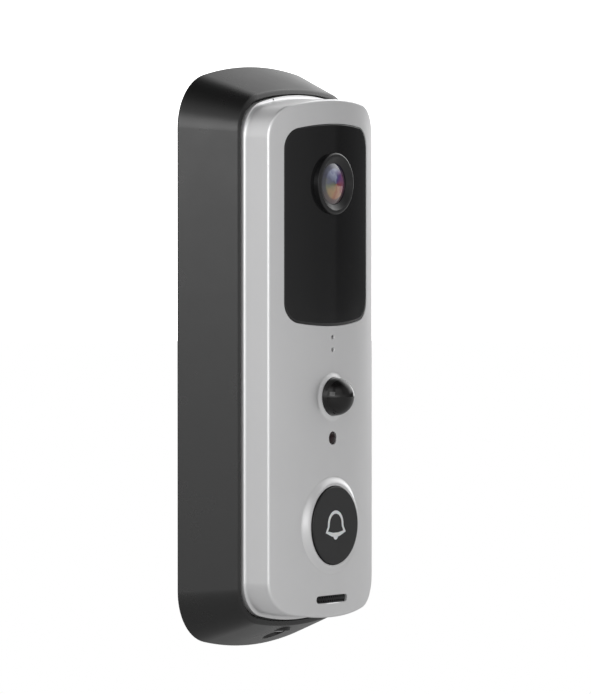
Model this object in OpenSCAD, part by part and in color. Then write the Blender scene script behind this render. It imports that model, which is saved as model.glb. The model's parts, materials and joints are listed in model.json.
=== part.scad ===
// Video doorbell: a silver front cover and a dark housing that hang on a wall plate.
// X runs across the door post, +Y runs into the wall and +Z is up.
// The wall is the plane y = 0, and the crown of the silver face is at y = -depth.

/* [Overall] */
// Width of the silver face
face_w = 46.9; // [45:0.1:60]
// Height of the silver face
face_h = 135; // [130:0.5:170]
// Distance from the wall to the crown of the silver face
depth = 27; // [26:0.5:36]
// Radius of the face across its width
face_curve = 74; // [60:1:120]
// Radius of the arched top and bottom edges of the face
face_arch = 91; // [75:1:150]
// Corner radius of the silver face
face_corner = 8.7; // [6:0.1:11]

/* [Front cover] */
// Thickness of the front wall
cover_t = 2; // [1.8:0.1:2.4]
// Thickness of the side wall
side_t = 1.6; // [1.2:0.1:2]
// Width of the flange at the sides
flange_side = 0.6; // [0.4:0.1:1.2]
// Width of the flange at the top and bottom
flange_end = 1; // [0.6:0.1:1.6]
// Depth behind the crown at which the side wall starts to flare
flare_start = 10.6; // [10:0.1:11]
// Depth behind the crown of the outer edge of the flange
flange_depth = 11.6; // [11.3:0.1:12]
// Depth behind the crown of the back of the front cover
cover_back = 13; // [12.6:0.1:13.5]

/* [Housing] */
// Gap between the flange and the lip of the housing
lip_gap = 0.3; // [0.2:0.05:0.5]
// Width of the lip at the sides
lip_side = 0.75; // [0.6:0.05:1.2]
// Width of the lip at the top and bottom
lip_end = 1.35; // [0.8:0.05:2]
// Depth behind the crown of the inner edge of the lip
lip_front = 12; // [11.8:0.1:12.3]
// Depth behind the crown of the outer edge of the lip
lip_depth = 12.6; // [12.4:0.1:13]
// How far each side flares from the lip to the wall
flare_x = 7.2; // [6:0.1:10]
// How far each end flares from the lip to the wall
flare_z = 5.9; // [5:0.1:9]
// Corner radius at the lip
lip_corner = 9.8; // [8:0.1:12]
// Corner radius at the wall
back_corner = 14.1; // [12:0.1:18]
// Radius of the arched ends of the housing
housing_arch = 106; // [90:1:150]
// Thickness of the housing's walls
housing_t = 2; // [1.6:0.1:2.4]
// Gap between the rim of the housing and the wall
wall_gap = 0.3; // [0.2:0.1:0.8]

/* [Camera window] */
// Width of the black window
window_w = 37; // [32:0.5:38]
// Height of the black window
window_h = 52.5; // [48:0.5:56]
// Height of the window's centre above the face's centre
window_z = 34.8; // [33:0.1:37]
// Corner radius of the window
window_corner = 5.5; // [3:0.1:8]
// Thickness of the window
window_t = 1.2; // [1:0.1:1.4]
// Height of the lens above the face's centre
lens_z = 45.5; // [44:0.1:47]
// Diameter of the ring round the lens
lens_ring_d = 16; // [15:0.1:18]
// How far the ring stands proud of the crown
lens_ring_proud = 1.15; // [0.6:0.05:2]

/* [Sensors] */
// Height of the motion sensor's dome
pir_z = -9.9; // [-12:0.1:-8]
// Diameter of the dome
pir_d = 10; // [9.6:0.1:11]
// Height of the light sensor
light_z = -20.75; // [-23:0.05:-19]
// Diameter of the light sensor's window
light_d = 3.4; // [2:0.1:4]
// Height of the upper microphone hole
mic_z = 5.6; // [4:0.1:6]
// Distance between the microphone holes
mic_pitch = 3.3; // [2.5:0.1:3.6]
// Diameter of a microphone hole
mic_d = 1; // [0.8:0.1:1.2]

/* [Button] */
// Height of the button
button_z = -43.5; // [-44:0.1:-42]
// Diameter of the button
button_d = 20.3; // [16:0.1:21]
// Width of the raised collar round the button
collar_w = 2.65; // [2:0.05:3]
// How far the collar's inner edge stands proud of the crown
collar_proud = 0.5; // [0.2:0.1:0.8]
// How far the button stands proud of the crown
button_proud = 0.9; // [0.8:0.1:1.2]
// Travel of the button
button_travel = 0.7; // [0.4:0.1:0.9]

/* [Speaker] */
// Height of the speaker slot
slot_z = -62.7; // [-63:0.1:-62]
// Length of the speaker slot
slot_w = 13.9; // [10:0.1:18]
// Height of the speaker slot
slot_h = 1.9; // [1.2:0.1:2.2]
// Length of the loudspeaker
speaker_w = 24; // [20:0.5:26]
// Height of the loudspeaker
speaker_h = 8; // [7:0.1:8]

/* [Battery pack] */
// Width of the pack
pack_w = 38; // [32:0.5:38]
// Height of the pack
pack_h = 84; // [70:1:84]
// Height of the pack's top edge
pack_top = 29; // [26:0.5:29]
// Gap round the pack in its bay
pack_gap = 0.3; // [0.2:0.05:0.5]

/* [Wall plate] */
// Thickness of the wall plate
plate_t = 3; // [2.5:0.1:4]
// Width of the opening in the plate
plate_hole_w = 42; // [38:0.5:42]
// Height of the opening in the plate
plate_hole_h = 112; // [100:1:114]
// Distance between the screw slots across the plate
slot_pitch_x = 34; // [28:0.5:36]
// Distance between the upper and lower screw slots
slot_pitch_z = 130; // [126:0.5:160]
// Width of a screw slot
wall_slot_d = 4.4; // [3.5:0.1:5]
// Length of a screw slot, end to end
wall_slot_l = 8.4; // [6:0.1:10]

/* [Hidden] */

$fn = 48;
arch_steps = 8;    // segments in half an arched end
corner_steps = 12; // segments in a corner
skin = 0.02;       // thickness of the slabs that a tapered shape is stretched between
over = 1;          // how far a cut runs past a face
fit = 0.1;         // clearance between parts that are fixed to each other
run_fit = 0.05;    // clearance round a part that slides or turns
mount_gap = 0.3;   // gap between the plate and the housing that hangs on it

// Screws: shank, pilot hole, clearance hole and head, all as radii
board_screw_r = 0.8;
board_pilot_r = 0.83;
board_clear_r = 0.95;
board_head_r = 1.5;
board_head_h = 0.9;
cover_screw_r = 1.1;
cover_pilot_r = 1.13;
cover_clear_r = 1.25;
cover_head_r = 2.1;

// Stations along Y: a depth is measured back from the crown of the face
function at(d) = d - depth;
crown = at(0);
board_front = at(6.6);
board_t = 1;
board_back = board_front + board_t;
camera_front = at(5.4);
filter_front = at(10.6);
filter_back = at(14);
camera_board_t = 1;
pocket_front = at(9.4);
pocket_t = 1.4;
rim_back = -wall_gap;
plate_front = -plate_t;
recess_floor = plate_front - mount_gap;
wall_front = recess_floor - housing_t;
shelf_front = at(cover_back) + 0.5;

// Half sizes of the outlines
cover_x = face_w / 2;
cover_z = face_h / 2;
flange_x = cover_x + flange_side;
flange_z = cover_z + flange_end;
flange_arch = 78;
flange_corner = face_corner + flange_side;
lip_x = flange_x + lip_gap + lip_side;
lip_z = flange_z + lip_gap + lip_end;

// Half sizes of the housing's tapered outside at a station y
function taper(y) = (y - at(lip_depth)) / (rim_back - at(lip_depth));
function body_x(y) = lip_x + flare_x * taper(y);
function body_z(y) = lip_z + flare_z * taper(y);
function body_r(y) = lip_corner + (back_corner - lip_corner) * taper(y);

// One quarter of an outline with an arched end: from the middle of the end to the side
function quarter(w, h, arch, r) =
    let (low = h - arch, rise = sqrt(pow(arch - r, 2) - pow(w - r, 2)), turn = atan2(w - r, rise))
    concat(
        [for (i = [0:arch_steps - 1]) let (t = turn * i / arch_steps)
            [arch * sin(t), low + arch * cos(t)]],
        [for (i = [0:corner_steps]) let (t = turn + (90 - turn) * i / corner_steps)
            [w - r + r * sin(t), low + rise + r * cos(t)]]);
function flip_z(p) = [for (i = [len(p) - 1:-1:0]) [p[i][0], -p[i][1]]];
function flip_x(p) = [for (i = [len(p) - 2:-1:1]) [-p[i][0], p[i][1]]];

// Upright rounded outline of half width w and half height h, with arched ends
module outline(w, h, arch, r) {
    right = concat(quarter(w, h, arch, r), flip_z(quarter(w, h, arch, r)));
    polygon(concat(right, flip_x(right)));
}

// A flat shape in X and Z, thickened from y0 to y1
module slab(y0, y1) translate([0, y1, 0]) rotate([90, 0, 0]) linear_extrude(height = y1 - y0) children();

// A rod along Y from y0 to y1
module rod(r, y0, y1, x = 0, z = 0)
    translate([x, y1, z]) rotate([90, 0, 0]) cylinder(r = r, h = y1 - y0);

// A cone along Y with radius r0 at y0 and r1 at y1
module cone(r0, r1, y0, y1, x = 0, z = 0)
    translate([x, y1, z]) rotate([90, 0, 0]) cylinder(r1 = r1, r2 = r0, h = y1 - y0);

// A box from y0 to y1, centred on x and z
module block(w, h, y0, y1, x = 0, z = 0)
    translate([x - w / 2, y0, z - h / 2]) cube([w, y1 - y0, h]);

// A slot with round ends: l long, d wide, from y0 to y1
module slot(l, d, y0, y1, x = 0, z = 0) {
    block(l - d, d, y0, y1, x, z);
    for (side = [-1, 1]) rod(d / 2, y0, y1, x + side * (l - d) / 2, z);
}

// Everything deeper than inset behind the curved face
module behind_face(inset) translate([0, crown + face_curve, 0])
    cylinder(r = face_curve - inset, h = 2 * face_h, center = true, $fn = 360);

// A layer of the curved face, from inset a to inset b
module face_layer(a, b) difference() {
    behind_face(a);
    behind_face(b);
}

// A ribbon of width w and thickness t that follows points [y, z] at x
function unit(a, b) = (b - a) / norm(b - a);
function side_of(p, i, t) =
    let (u = unit(p[max(i - 1, 0)], p[max(i, 1)]), v = unit(p[min(i, len(p) - 2)], p[min(i + 1, len(p) - 1)]),
        n = [-u[1] - v[1], u[0] + v[0]] / norm([-u[1] - v[1], u[0] + v[0]]),
        k = t / 2 / (n * [-u[1], u[0]]))
    n * k;
module ribbon(p, w, t, x) {
    near = [for (i = [0:len(p) - 1]) p[i] + side_of(p, i, t)];
    far = [for (i = [len(p) - 1:-1:0]) p[i] - side_of(p, i, t)];
    translate([x - w / 2, 0, 0]) rotate([90, 0, 90]) linear_extrude(height = w) polygon(concat(near, far));
}

// ---- Front cover ----
post_x = cover_x - side_t - 4.3;  // cover posts that take the housing's screws
post_z = cover_z - 7.5;
post_r = 3;
board_post_r = 2.4;
board_post_zs = [pack_top - 3, button_z - 8];
board_post_x = cover_x - side_t - 4.3;
camera_post_x = cover_x - side_t - 3.2;
camera_post_zs = [lens_z - 7.5, lens_z + 7.5];
ledge = 2.5;                      // width of the ledge that the window rests on
drain_x = -10.7;                  // pinhole in the upper flange
collar_r = button_d / 2 + collar_w;
button_gap = 0.2;
slot_lip = 0.6;     // thickness of the cover round the speaker slot
mesh_t = 0.4;

module post(r, end, x, z) intersection() {
    rod(r, crown, end, x, z);
    behind_face(cover_t / 2);
}

module front_cover() color("#c3c3c6") difference() {
    union() {
        difference() {
            union() {
                intersection() {
                    slab(crown - over, at(cover_back)) outline(cover_x, cover_z, face_arch, face_corner);
                    behind_face(0);
                }
                hull() {
                    slab(at(flare_start), at(flare_start) + skin)
                        outline(cover_x, cover_z, face_arch, face_corner);
                    slab(at(flange_depth), at(cover_back))
                        outline(flange_x, flange_z, flange_arch, flange_corner);
                }
            }
            intersection() {
                slab(crown, at(cover_back) + over)
                    outline(cover_x - side_t, cover_z - side_t, face_arch - side_t, face_corner - side_t);
                behind_face(cover_t);
            }
        }
        for (x = [-1, 1], z = [-1, 1]) post(post_r, shelf_front, x * post_x, z * post_z);
        for (x = [-1, 1], z = board_post_zs) post(board_post_r, board_front, x * board_post_x, z);
        for (x = [-1, 1], z = camera_post_zs) post(2, camera_front, x * camera_post_x, z);
    }
    // window: a shallow recess with a smaller opening inside it
    intersection() {
        translate([0, 0, window_z]) slab(crown - over, at(8))
            outline(window_w / 2 + fit, window_h / 2 + fit, face_arch, window_corner + fit);
        face_layer(-over, window_t);
    }
    translate([0, 0, window_z]) slab(crown - over, at(5))
        outline(window_w / 2 - ledge, window_h / 2 - ledge, face_arch - ledge, window_corner - ledge);
    // openings along the middle of the face
    for (i = [0, 1]) rod(mic_d / 2, crown - over, at(5), 0, mic_z - i * mic_pitch);
    rod(pir_d / 2 + fit, crown - over, at(5), 0, pir_z);
    rod(light_d / 2 + fit, crown - over, at(5), 0, light_z);
    rod(collar_r + fit, crown - over, at(5.5), 0, button_z);
    slot(slot_w, slot_h, crown - over, at(5), 0, slot_z);
    intersection() {
        slot(slot_w + 2, slot_h + 2, crown, at(5), 0, slot_z);
        behind_face(slot_lip);
    }
    rod(0.3, at(flare_start), at(cover_back) + over, drain_x, cover_z - 0.1);
    // screw holes in the posts
    for (x = [-1, 1], z = [-1, 1]) rod(cover_pilot_r, at(5), shelf_front + over, x * post_x, z * post_z);
    for (x = [-1, 1], z = board_post_zs)
        rod(board_pilot_r, at(4.2), board_front + over, x * board_post_x, z);
    for (x = [-1, 1], z = camera_post_zs)
        rod(board_pilot_r, at(3.9), camera_front + over, x * camera_post_x, z);
}

module window_panel() color("#18191b") difference() {
    intersection() {
        translate([0, 0, window_z]) slab(crown - over, at(8))
            outline(window_w / 2, window_h / 2, face_arch, window_corner);
        face_layer(0, window_t);
    }
    rod(lens_ring_d / 2 + fit, crown - over, at(5), 0, lens_z);
}

// ---- Camera ----
barrel_r = 6.5;
barrel_back = at(10.4);
holder_w = 19;
lug_w = 4.2;       // width and thickness of the holder's lugs
lug_t = 1.6;
filter_w = 22;
filter_low = 5.5;
filter_high = 15.5;
filter_travel = 5;
filter_hole = 4.4;
arm_r = 8;         // distance from the arm's pivot to its pin
pin_r = 0.6;
arm_swing = asin(filter_travel / 2 / arm_r);
pin_z = lens_z + 4.3;
pivot_z = pin_z + arm_r * cos(arm_swing);
slider_front = filter_front + 0.8;
slider_back = slider_front + 0.8;
arm_front = slider_back + 0.2;
arm_back = arm_front + 0.8;

glass_r = 5.35;
glass_ball = 14.8; // radius of the glass's front
glass_seat = crown - lens_ring_proud + 0.85;

module lens_ring() color("#101012") difference() {
    rod(lens_ring_d / 2, crown - lens_ring_proud, at(3.2), 0, lens_z);
    cone(lens_ring_d / 2 - 1.1, glass_r + 0.15, crown - lens_ring_proud - skin, glass_seat, 0, lens_z);
    rod(glass_r + fit / 2, glass_seat - skin, at(1.4), 0, lens_z);
    rod(barrel_r + run_fit, at(1.4) - skin, at(3.2) + over, 0, lens_z);
}

module lens_glass() color("#2c3350") intersection() {
    rod(glass_r, crown - lens_ring_proud, at(1.4), 0, lens_z);
    translate([0, glass_seat - 0.8 + glass_ball, lens_z]) sphere(r = glass_ball, $fn = 200);
}

module lens_barrel() color("#161618") difference() {
    rod(barrel_r, at(1.4), barrel_back, 0, lens_z);
    rod(5, at(1.4) - over, at(2.2), 0, lens_z);
    rod(4.2, at(2.2) - skin, barrel_back + over, 0, lens_z);
}

module lens_elements() color("#aab8c8") for (d = [2.6, 5.2, 8]) difference() {
    rod(4.15, at(d), at(d + 1.8), 0, lens_z);
    translate([0, at(d) - 9.5, lens_z]) sphere(r = 10, $fn = 96);
}

module camera_holes(r, y0, y1)
    for (x = [-1, 1], z = camera_post_zs) rod(r, y0, y1, x * camera_post_x, z);

module lens_holder() color("#232325") difference() {
    union() {
        block(holder_w, holder_w, camera_front, filter_front, 0, lens_z);
        for (z = camera_post_zs)
            slot(2 * camera_post_x + lug_w, lug_w, camera_front, camera_front + lug_t, 0, z);
    }
    rod(barrel_r + run_fit, camera_front - over, filter_front + over, 0, lens_z);
    camera_holes(board_clear_r, camera_front - over, camera_front + 3);
}

module filter_frame() color("#2b2b2e") difference() {
    block(filter_w, filter_low + filter_high, filter_front, filter_back, 0,
        lens_z + (filter_high - filter_low) / 2);
    // light path
    rod(filter_hole / 2 + 0.4, filter_front - over, filter_back + over, 0, lens_z);
    // track of the slider, space for the arm and its coil, and the sensor's pocket
    block(filter_w - 2, 2 * 3.6 + 2 * run_fit, slider_front - run_fit, arm_back + 0.2, 0, lens_z);
    block(9.5, filter_high - 3, slider_front - run_fit, arm_back + 0.2, 0,
        lens_z + (filter_high - 1.4 + 1.6) / 2);
    block(7.2, 7.2, arm_back, filter_back + over, 0, lens_z);
    rod(0.5 + run_fit, filter_front + 0.4, arm_back, 0, pivot_z);
    block(3.4, 4.4, slider_back, arm_back + 0.2, filter_w / 2 - 2.9, lens_z + 9);
}

// The slider carries the blocking glass to one side and the clear glass to the other.
slider_x = -filter_travel / 2;
module filter_slider() color("#3c3c40") difference() {
    union() {
        block(13, 7.2, slider_front, slider_back, slider_x, lens_z);
        block(3.2, 2.2, slider_front, slider_back, slider_x, lens_z + 4.5);
    }
    for (side = [-1, 1])
        rod(filter_hole / 2, slider_front - over, slider_back + over,
            slider_x + side * filter_travel / 2, lens_z);
    // upright slot for the arm's pin
    block(2 * (pin_r + run_fit), 3.4, slider_front - over, slider_back + over, slider_x, pin_z + 0.5);
}

module filter_glass() color("#8a3f52") for (side = [-1, 1])
    rod(filter_hole / 2 - fit / 2, slider_front + 0.2, slider_back - 0.2,
        slider_x + side * filter_travel / 2, lens_z);

// The arm hangs from its pivot and pushes the slider with the pin at its lower end.
module filter_arm() color("#b9853a") {
    rod(0.5, filter_front + 0.5, arm_back, 0, pivot_z);
    rod(1.9, arm_front, arm_back, 0, pivot_z);
    translate([0, 0, pivot_z]) rotate([0, arm_swing, 0]) {
        translate([-0.7, arm_front, -arm_r]) cube([1.4, arm_back - arm_front, arm_r]);
        rod(pin_r, slider_front + 0.1, arm_back, 0, -arm_r);
    }
}

module filter_coil() color("#a4552a")
    block(3, 4, slider_back + run_fit, arm_back, filter_w / 2 - 2.9, lens_z + 9);

module image_sensor() color("#22303a") block(6.6, 6.6, filter_back - 1, filter_back, 0, lens_z);

module camera_board() color("#1d5c3a")
    block(filter_w, filter_low + filter_high, filter_back, filter_back + camera_board_t, 0,
        lens_z + (filter_high - filter_low) / 2);

module camera_screws() color("#9a9a9c") for (x = [-1, 1], z = camera_post_zs) {
    rod(board_screw_r, at(4.1), camera_front + lug_t, x * camera_post_x, z);
    rod(board_head_r, camera_front + lug_t, camera_front + lug_t + board_head_h, x * camera_post_x, z);
}

ir_back = camera_front - 0.1;
ir_front = ir_back - 0.8;
module ir_board() color("#17492f") difference() {
    block(29, 27, ir_front, ir_back, 0, lens_z);
    rod(lens_ring_d / 2 + 0.3, ir_front - over, ir_back + over, 0, lens_z);
}

module ir_leds() color("#3a3038") for (i = [0:5]) let (t = 60 * i + 30) {
    block(2.2, 2.2, ir_front - 0.9, ir_front, 11.2 * cos(t), lens_z + 11.2 * sin(t));
    rod(0.8, ir_front - 1.3, ir_front - 0.9, 11.2 * cos(t), lens_z + 11.2 * sin(t));
}

camera_low = lens_z - filter_low;
module camera_cable() color("#b9772b") ribbon([
        [filter_back + camera_board_t + 0.15, camera_low + 4],
        [filter_back + camera_board_t + 0.15, camera_low - 4], [board_back + 0.6, pack_top + 4.5],
        [board_back + 0.15, pack_top + 1.5], [board_back + 0.15, pack_top - 3]],
    9, 0.3, 0);

// ---- Sensors ----
pir_base = at(2.5);
module pir_lens() color("#0e0e10") difference() {
    union() {
        rod(pir_d / 2, crown - 0.7, pir_base + 0.1, 0, pir_z);
        intersection() {
            translate([0, crown - 0.7, pir_z]) sphere(r = pir_d / 2, $fn = 96);
            rod(pir_d / 2, crown - 0.7 - pir_d, crown - 0.7 + skin, 0, pir_z);
        }
        rod(pir_d / 2 + 1.4, pir_base, pir_base + 0.7, 0, pir_z);
    }
    intersection() {
        translate([0, crown - 0.7, pir_z]) sphere(r = pir_d / 2 - 0.7, $fn = 96);
        rod(pir_d / 2, crown - 0.7 - pir_d, crown - 0.7 + skin, 0, pir_z);
    }
    rod(pir_d / 2 - 0.7, crown - 0.7, pir_base + over, 0, pir_z);
}

module pir_sensor() color("#b8b8ba") difference() {
    union() {
        rod(4, at(2), board_front - 0.4, 0, pir_z);
        rod(4.2, board_front - 0.4, board_front, 0, pir_z);
    }
    block(4, 3, at(2) - over, at(2.3), 0, pir_z);
}

module light_guide() color("#3a0f12") intersection() {
    union() {
        rod(light_d / 2, crown, at(5.4), 0, light_z);
        rod(light_d / 2 + 0.8, at(2.6), at(3.2), 0, light_z);
    }
    behind_face(0.1);
}

module light_sensor() color("#d8d2b8") block(2.6, 2.6, at(5.5), board_front, 0, light_z);

mic_mid = mic_z - mic_pitch / 2;
module mic_gasket() color("#26262a") difference() {
    intersection() {
        block(5.6, mic_pitch + 2.4, at(1), board_front - 1.1, 0, mic_mid);
        behind_face(cover_t);
    }
    for (i = [0, 1]) rod(mic_d / 2 + 0.1, crown, board_front, 0, mic_z - i * mic_pitch);
}

module microphone() color("#c9b26a") difference() {
    block(4.2, mic_pitch + 1.8, board_front - 1.1, board_front, 0, mic_mid);
    for (i = [0, 1]) rod(0.35, board_front - 1.1 - over, board_front - 0.5, 0, mic_z - i * mic_pitch);
}

// ---- Button ----
cap_flange = button_d / 2 + button_gap + 0.85;
cap_flange_y = at(4.3);
switch_front = at(5.3);
ring_seat = at(3.5);
ring_back = at(4.2);

module button_ring() color("#cfcfd2") difference() {
    union() {
        hull() {
            rod(button_d / 2 + 0.6, crown - collar_proud, at(2), 0, button_z);
            intersection() {
                rod(collar_r, crown - over, at(3), 0, button_z);
                behind_face(0);
            }
        }
        rod(collar_r, at(3) - skin, ring_back, 0, button_z);
        rod(collar_r + 0.7, ring_seat, ring_back, 0, button_z);
    }
    rod(button_d / 2 + button_gap, crown - button_proud - over, ring_back + over, 0, button_z);
}

// Half of a bell's outline as [x, z], from its crown down to its clapper
bell_r = 3.1;
bell_waist = -0.6;
bell_foot = 4;
bell_low = -1.9;
bell_sag = 0.75;
bell_top = 0.1;
bell_line = 0.84;
clapper_r = 1.1;
icon_t = 0.5;
icon_z = button_z + 0.3;
function bell(grow) = concat(
    [for (t = [0:15:90]) [(bell_r + grow) * sin(t), bell_top + (bell_r + grow) * cos(t)]],
    [[bell_r + grow + 0.1, bell_waist], [bell_foot + 1.3 * grow, bell_low - 0.4 * grow],
        [1.4 + 0.6 * grow, bell_low - 1.2 * grow - bell_sag]]);
module bell_shape(grow) polygon(concat(bell(grow), flip_x(concat([[0, 0]], bell(grow), [[0, 0]]))));

module bell_icon_shape() {
    difference() {
        bell_shape(bell_line / 2);
        bell_shape(-bell_line / 2);
    }
    difference() {
        translate([0, bell_low - 1]) circle(r = clapper_r);
        translate([-2, bell_low - bell_sag]) square([4, 2]);
    }
}

module bell_icon() color("#f2f2f2") translate([0, 0, icon_z])
    slab(crown - button_proud, crown - button_proud + icon_t) bell_icon_shape();

module button_cap() color("#1b1b1d") difference() {
    union() {
        rod(button_d / 2, crown - button_proud, cap_flange_y + 0.6, 0, button_z);
        rod(cap_flange, cap_flange_y, cap_flange_y + 0.6, 0, button_z);
    }
    translate([0, 0, icon_z])
        slab(crown - button_proud - over, crown - button_proud + icon_t) bell_icon_shape();
    difference() {
        rod(button_d / 2 - 1.4, at(1.5), cap_flange_y + over, 0, button_z);
        rod(2.6, at(1.4), cap_flange_y + over + skin, 0, button_z);
    }
    rod(3, cap_flange_y + 0.1, cap_flange_y + over, 0, button_z);
}

module switch_plunger() color("#3a3a3c")
    rod(1.5, cap_flange_y + 0.1, switch_front + 0.2, 0, button_z);

module button_switch() color("#8f8f92") difference() {
    block(6.2, 6.2, switch_front, board_front, 0, button_z);
    rod(1.5 + run_fit, switch_front - over, board_front - 0.3, 0, button_z);
}

module button_leds() color("#f4f1da") for (t = [45:90:315])
    block(1.6, 1.6, board_front - 0.6, board_front, 7.6 * cos(t), button_z + 7.6 * sin(t));

// ---- Speaker ----
speaker_z = slot_z + 1.3;
gasket_back = at(4.2);
speaker_back = at(9);

module speaker_gasket() color("#1f1f21") difference() {
    intersection() {
        slot(speaker_w, speaker_h, at(1), gasket_back, 0, speaker_z);
        behind_face(cover_t);
    }
    slot(speaker_w - 3, speaker_h - 3, crown, gasket_back + over, 0, speaker_z);
}

module speaker_mesh() color("#1c1c1e") intersection() {
    slot(slot_w + 2 - 2 * fit, slot_h + 2 - 2 * fit, crown, at(5), 0, slot_z);
    face_layer(slot_lip, slot_lip + mesh_t);
}

module speaker() color("#3a3a3c") difference() {
    slot(speaker_w, speaker_h, gasket_back, speaker_back, 0, speaker_z);
    difference() {
        slot(speaker_w - 3, speaker_h - 3, gasket_back - over, gasket_back + 1, 0, speaker_z);
        slot(speaker_w - 5, speaker_h - 5, gasket_back - over, gasket_back + 0.5, 0, speaker_z);
    }
}

module speaker_cable() color("#c0392b") ribbon([
        [speaker_back + 0.15, speaker_z + 1], [speaker_back + 0.15, board_low - 1.8],
        [board_back + 0.15, board_low - 0.2], [board_back + 0.15, board_low + 4]], 4, 0.3, 6);

// ---- Main board ----
board_high = pack_top + 2;
board_low = button_z - 10.8;
board_w = 2 * (cover_x - side_t) - 2.6;
shield_z = 7;
pin_xs = [-6, -2, 2, 6];
pins_z = -30;

module main_board() color("#1a5a39") difference() {
    block(board_w, board_high - board_low, board_front, board_back, 0, (board_high + board_low) / 2);
    for (x = [-1, 1], z = board_post_zs)
        rod(board_clear_r, board_front - over, board_back + over, x * board_post_x, z);
}

module processor() color("#202022") block(12, 12, board_back, board_back + 1, 0, shield_z);

module shield_can() color("#b4b6b8") difference() {
    block(26, 24, board_back, board_back + 1.5, 0, shield_z);
    block(25.6, 23.6, board_back - over, board_back + 1.3, 0, shield_z);
}

module contact_pins() color("#d3a94a") for (x = pin_xs) {
    rod(0.9, board_back, pocket_front, x, pins_z);
    rod(0.6, pocket_front, pack_front - run_fit, x, pins_z);
}

module wifi_antenna() color("#9c7a3c") difference() {
    block(24, 7, wall_front - 0.8, wall_front, 0, post_z + 1);
    for (x = [-7, 0, 7]) block(1.2, 5, wall_front - 0.8 - over, wall_front - 0.4, x, post_z + 1);
}

module board_screws() color("#a6a6a8") {
    for (x = [-1, 1], z = board_post_zs) {
        rod(board_screw_r, at(4.4), board_back, x * board_post_x, z);
        rod(board_head_r, board_back, board_back + board_head_h, x * board_post_x, z);
    }
    for (x = [-1, 1]) {
        rod(board_screw_r, power_front, power_back + 2.6, x * power_post_x, power_z);
        rod(board_head_r, power_front - board_head_h, power_front, x * power_post_x, power_z);
    }
}

// ---- Battery pack ----
pack_low = pack_top - pack_h;
pack_mid = (pack_top + pack_low) / 2;
pack_front = pocket_front + pocket_t + 0.2;
pack_back = recess_floor - 0.1;
case_t = 1.2;
lid_t = 1.2;

module pack_block(inset, y0, y1) slab(y0, y1) translate([0, pack_mid])
    outline(pack_w / 2 - inset, pack_h / 2 - inset, 600, max(3 - inset, 1));

module battery_case() color("#2e2e31") difference() {
    pack_block(0, pack_front, pack_back - lid_t);
    pack_block(case_t, pack_front + case_t, pack_back);
    for (x = pin_xs) block(2.6, 4.6, pack_front - over, pack_front + 0.4, x, pins_z);
    block(9.2, 3, pack_back - lid_t - 4.4, pack_back - lid_t - 1, 0, pack_top - 1);
}

module battery_lid() color("#333336") difference() {
    pack_block(0, pack_back - lid_t, pack_back);
    slot(16, 5, pack_back - 0.7, pack_back + over, 0, pack_low + 9);
}

module battery_cell() color("#3f6fb0")
    block(pack_w - 2 * case_t - 1, pack_h - 2 * case_t - 9, pack_front + case_t + 0.1,
        pack_back - lid_t - 0.1, 0, pack_mid - 4);

module battery_board() color("#1d6040")
    block(pack_w - 2 * case_t - 2, 6.4, pack_front + case_t + 2, pack_front + case_t + 2.8, 0,
        pack_top - case_t - 3.8);

module battery_contacts() color("#d9b24e") for (x = pin_xs)
    block(2.4, 4.4, pack_front, pack_front + 0.35, x, pins_z);

module charge_port() color("#c4c6c8") difference() {
    block(9, 6, pack_back - lid_t - 4.3, pack_back - lid_t - 1.1, 0, pack_top - 3.2);
    block(8.2, 5, pack_back - lid_t - 3.9, pack_back - lid_t - 1.5, 0, pack_top - 2.2);
}

// ---- Rear housing ----
pocket_x = pack_w / 2 + pack_gap;
pocket_high = pack_top + pack_gap;
pocket_low = pack_low - pack_gap;
screw_y = at(19);
screw_head_r = 2.7;
screw_seat = -body_z(screw_y) + 2.6;
screw_boss_top = screw_seat + 1;
lift = 2.4;        // how far the housing is raised to clear the hooks
tab_z = screw_boss_top + lift + 0.4;
tab_h = 3;
hook_x = pocket_x + pocket_t + 3.4;
hook_zs = [-45, 0, 45];
hook_w = 3;
hook_h = 5;
power_back = wall_front - 4.7;
power_front = power_back - 1;
power_z = lens_z - 8;
power_post_x = 9;
setup_x = 0;
terminal_z = lens_z + 3;
terminal_x = 6;
tab_w = 8;
cover_seat = recess_floor - 1.6; // seat of the screws that hold the front cover
shank_r = 1.5;     // security screw
terminal_screw_r = 1.5;
rim_t = 1.5;       // wall of the rim round the plate's recess
plate_gap = 0.3;   // gap between the plate's edge and its recess

module housing_outside() hull() {
    slab(at(lip_front), at(lip_front) + skin)
        outline(flange_x + lip_gap, flange_z + lip_gap, housing_arch, lip_corner - lip_side);
    slab(at(lip_depth), at(lip_depth) + skin) outline(lip_x, lip_z, housing_arch, lip_corner);
    slab(rim_back - skin, rim_back)
        outline(body_x(rim_back), body_z(rim_back), housing_arch, body_r(rim_back));
}

module housing_inside() hull() {
    slab(shelf_front + 1.5, shelf_front + 1.5 + skin)
        outline(cover_x - side_t, cover_z - side_t, housing_arch, face_corner);
    slab(wall_front - skin, wall_front)
        outline(body_x(wall_front) - housing_t, body_z(wall_front) - housing_t, housing_arch,
            body_r(wall_front) - housing_t);
}

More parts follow.
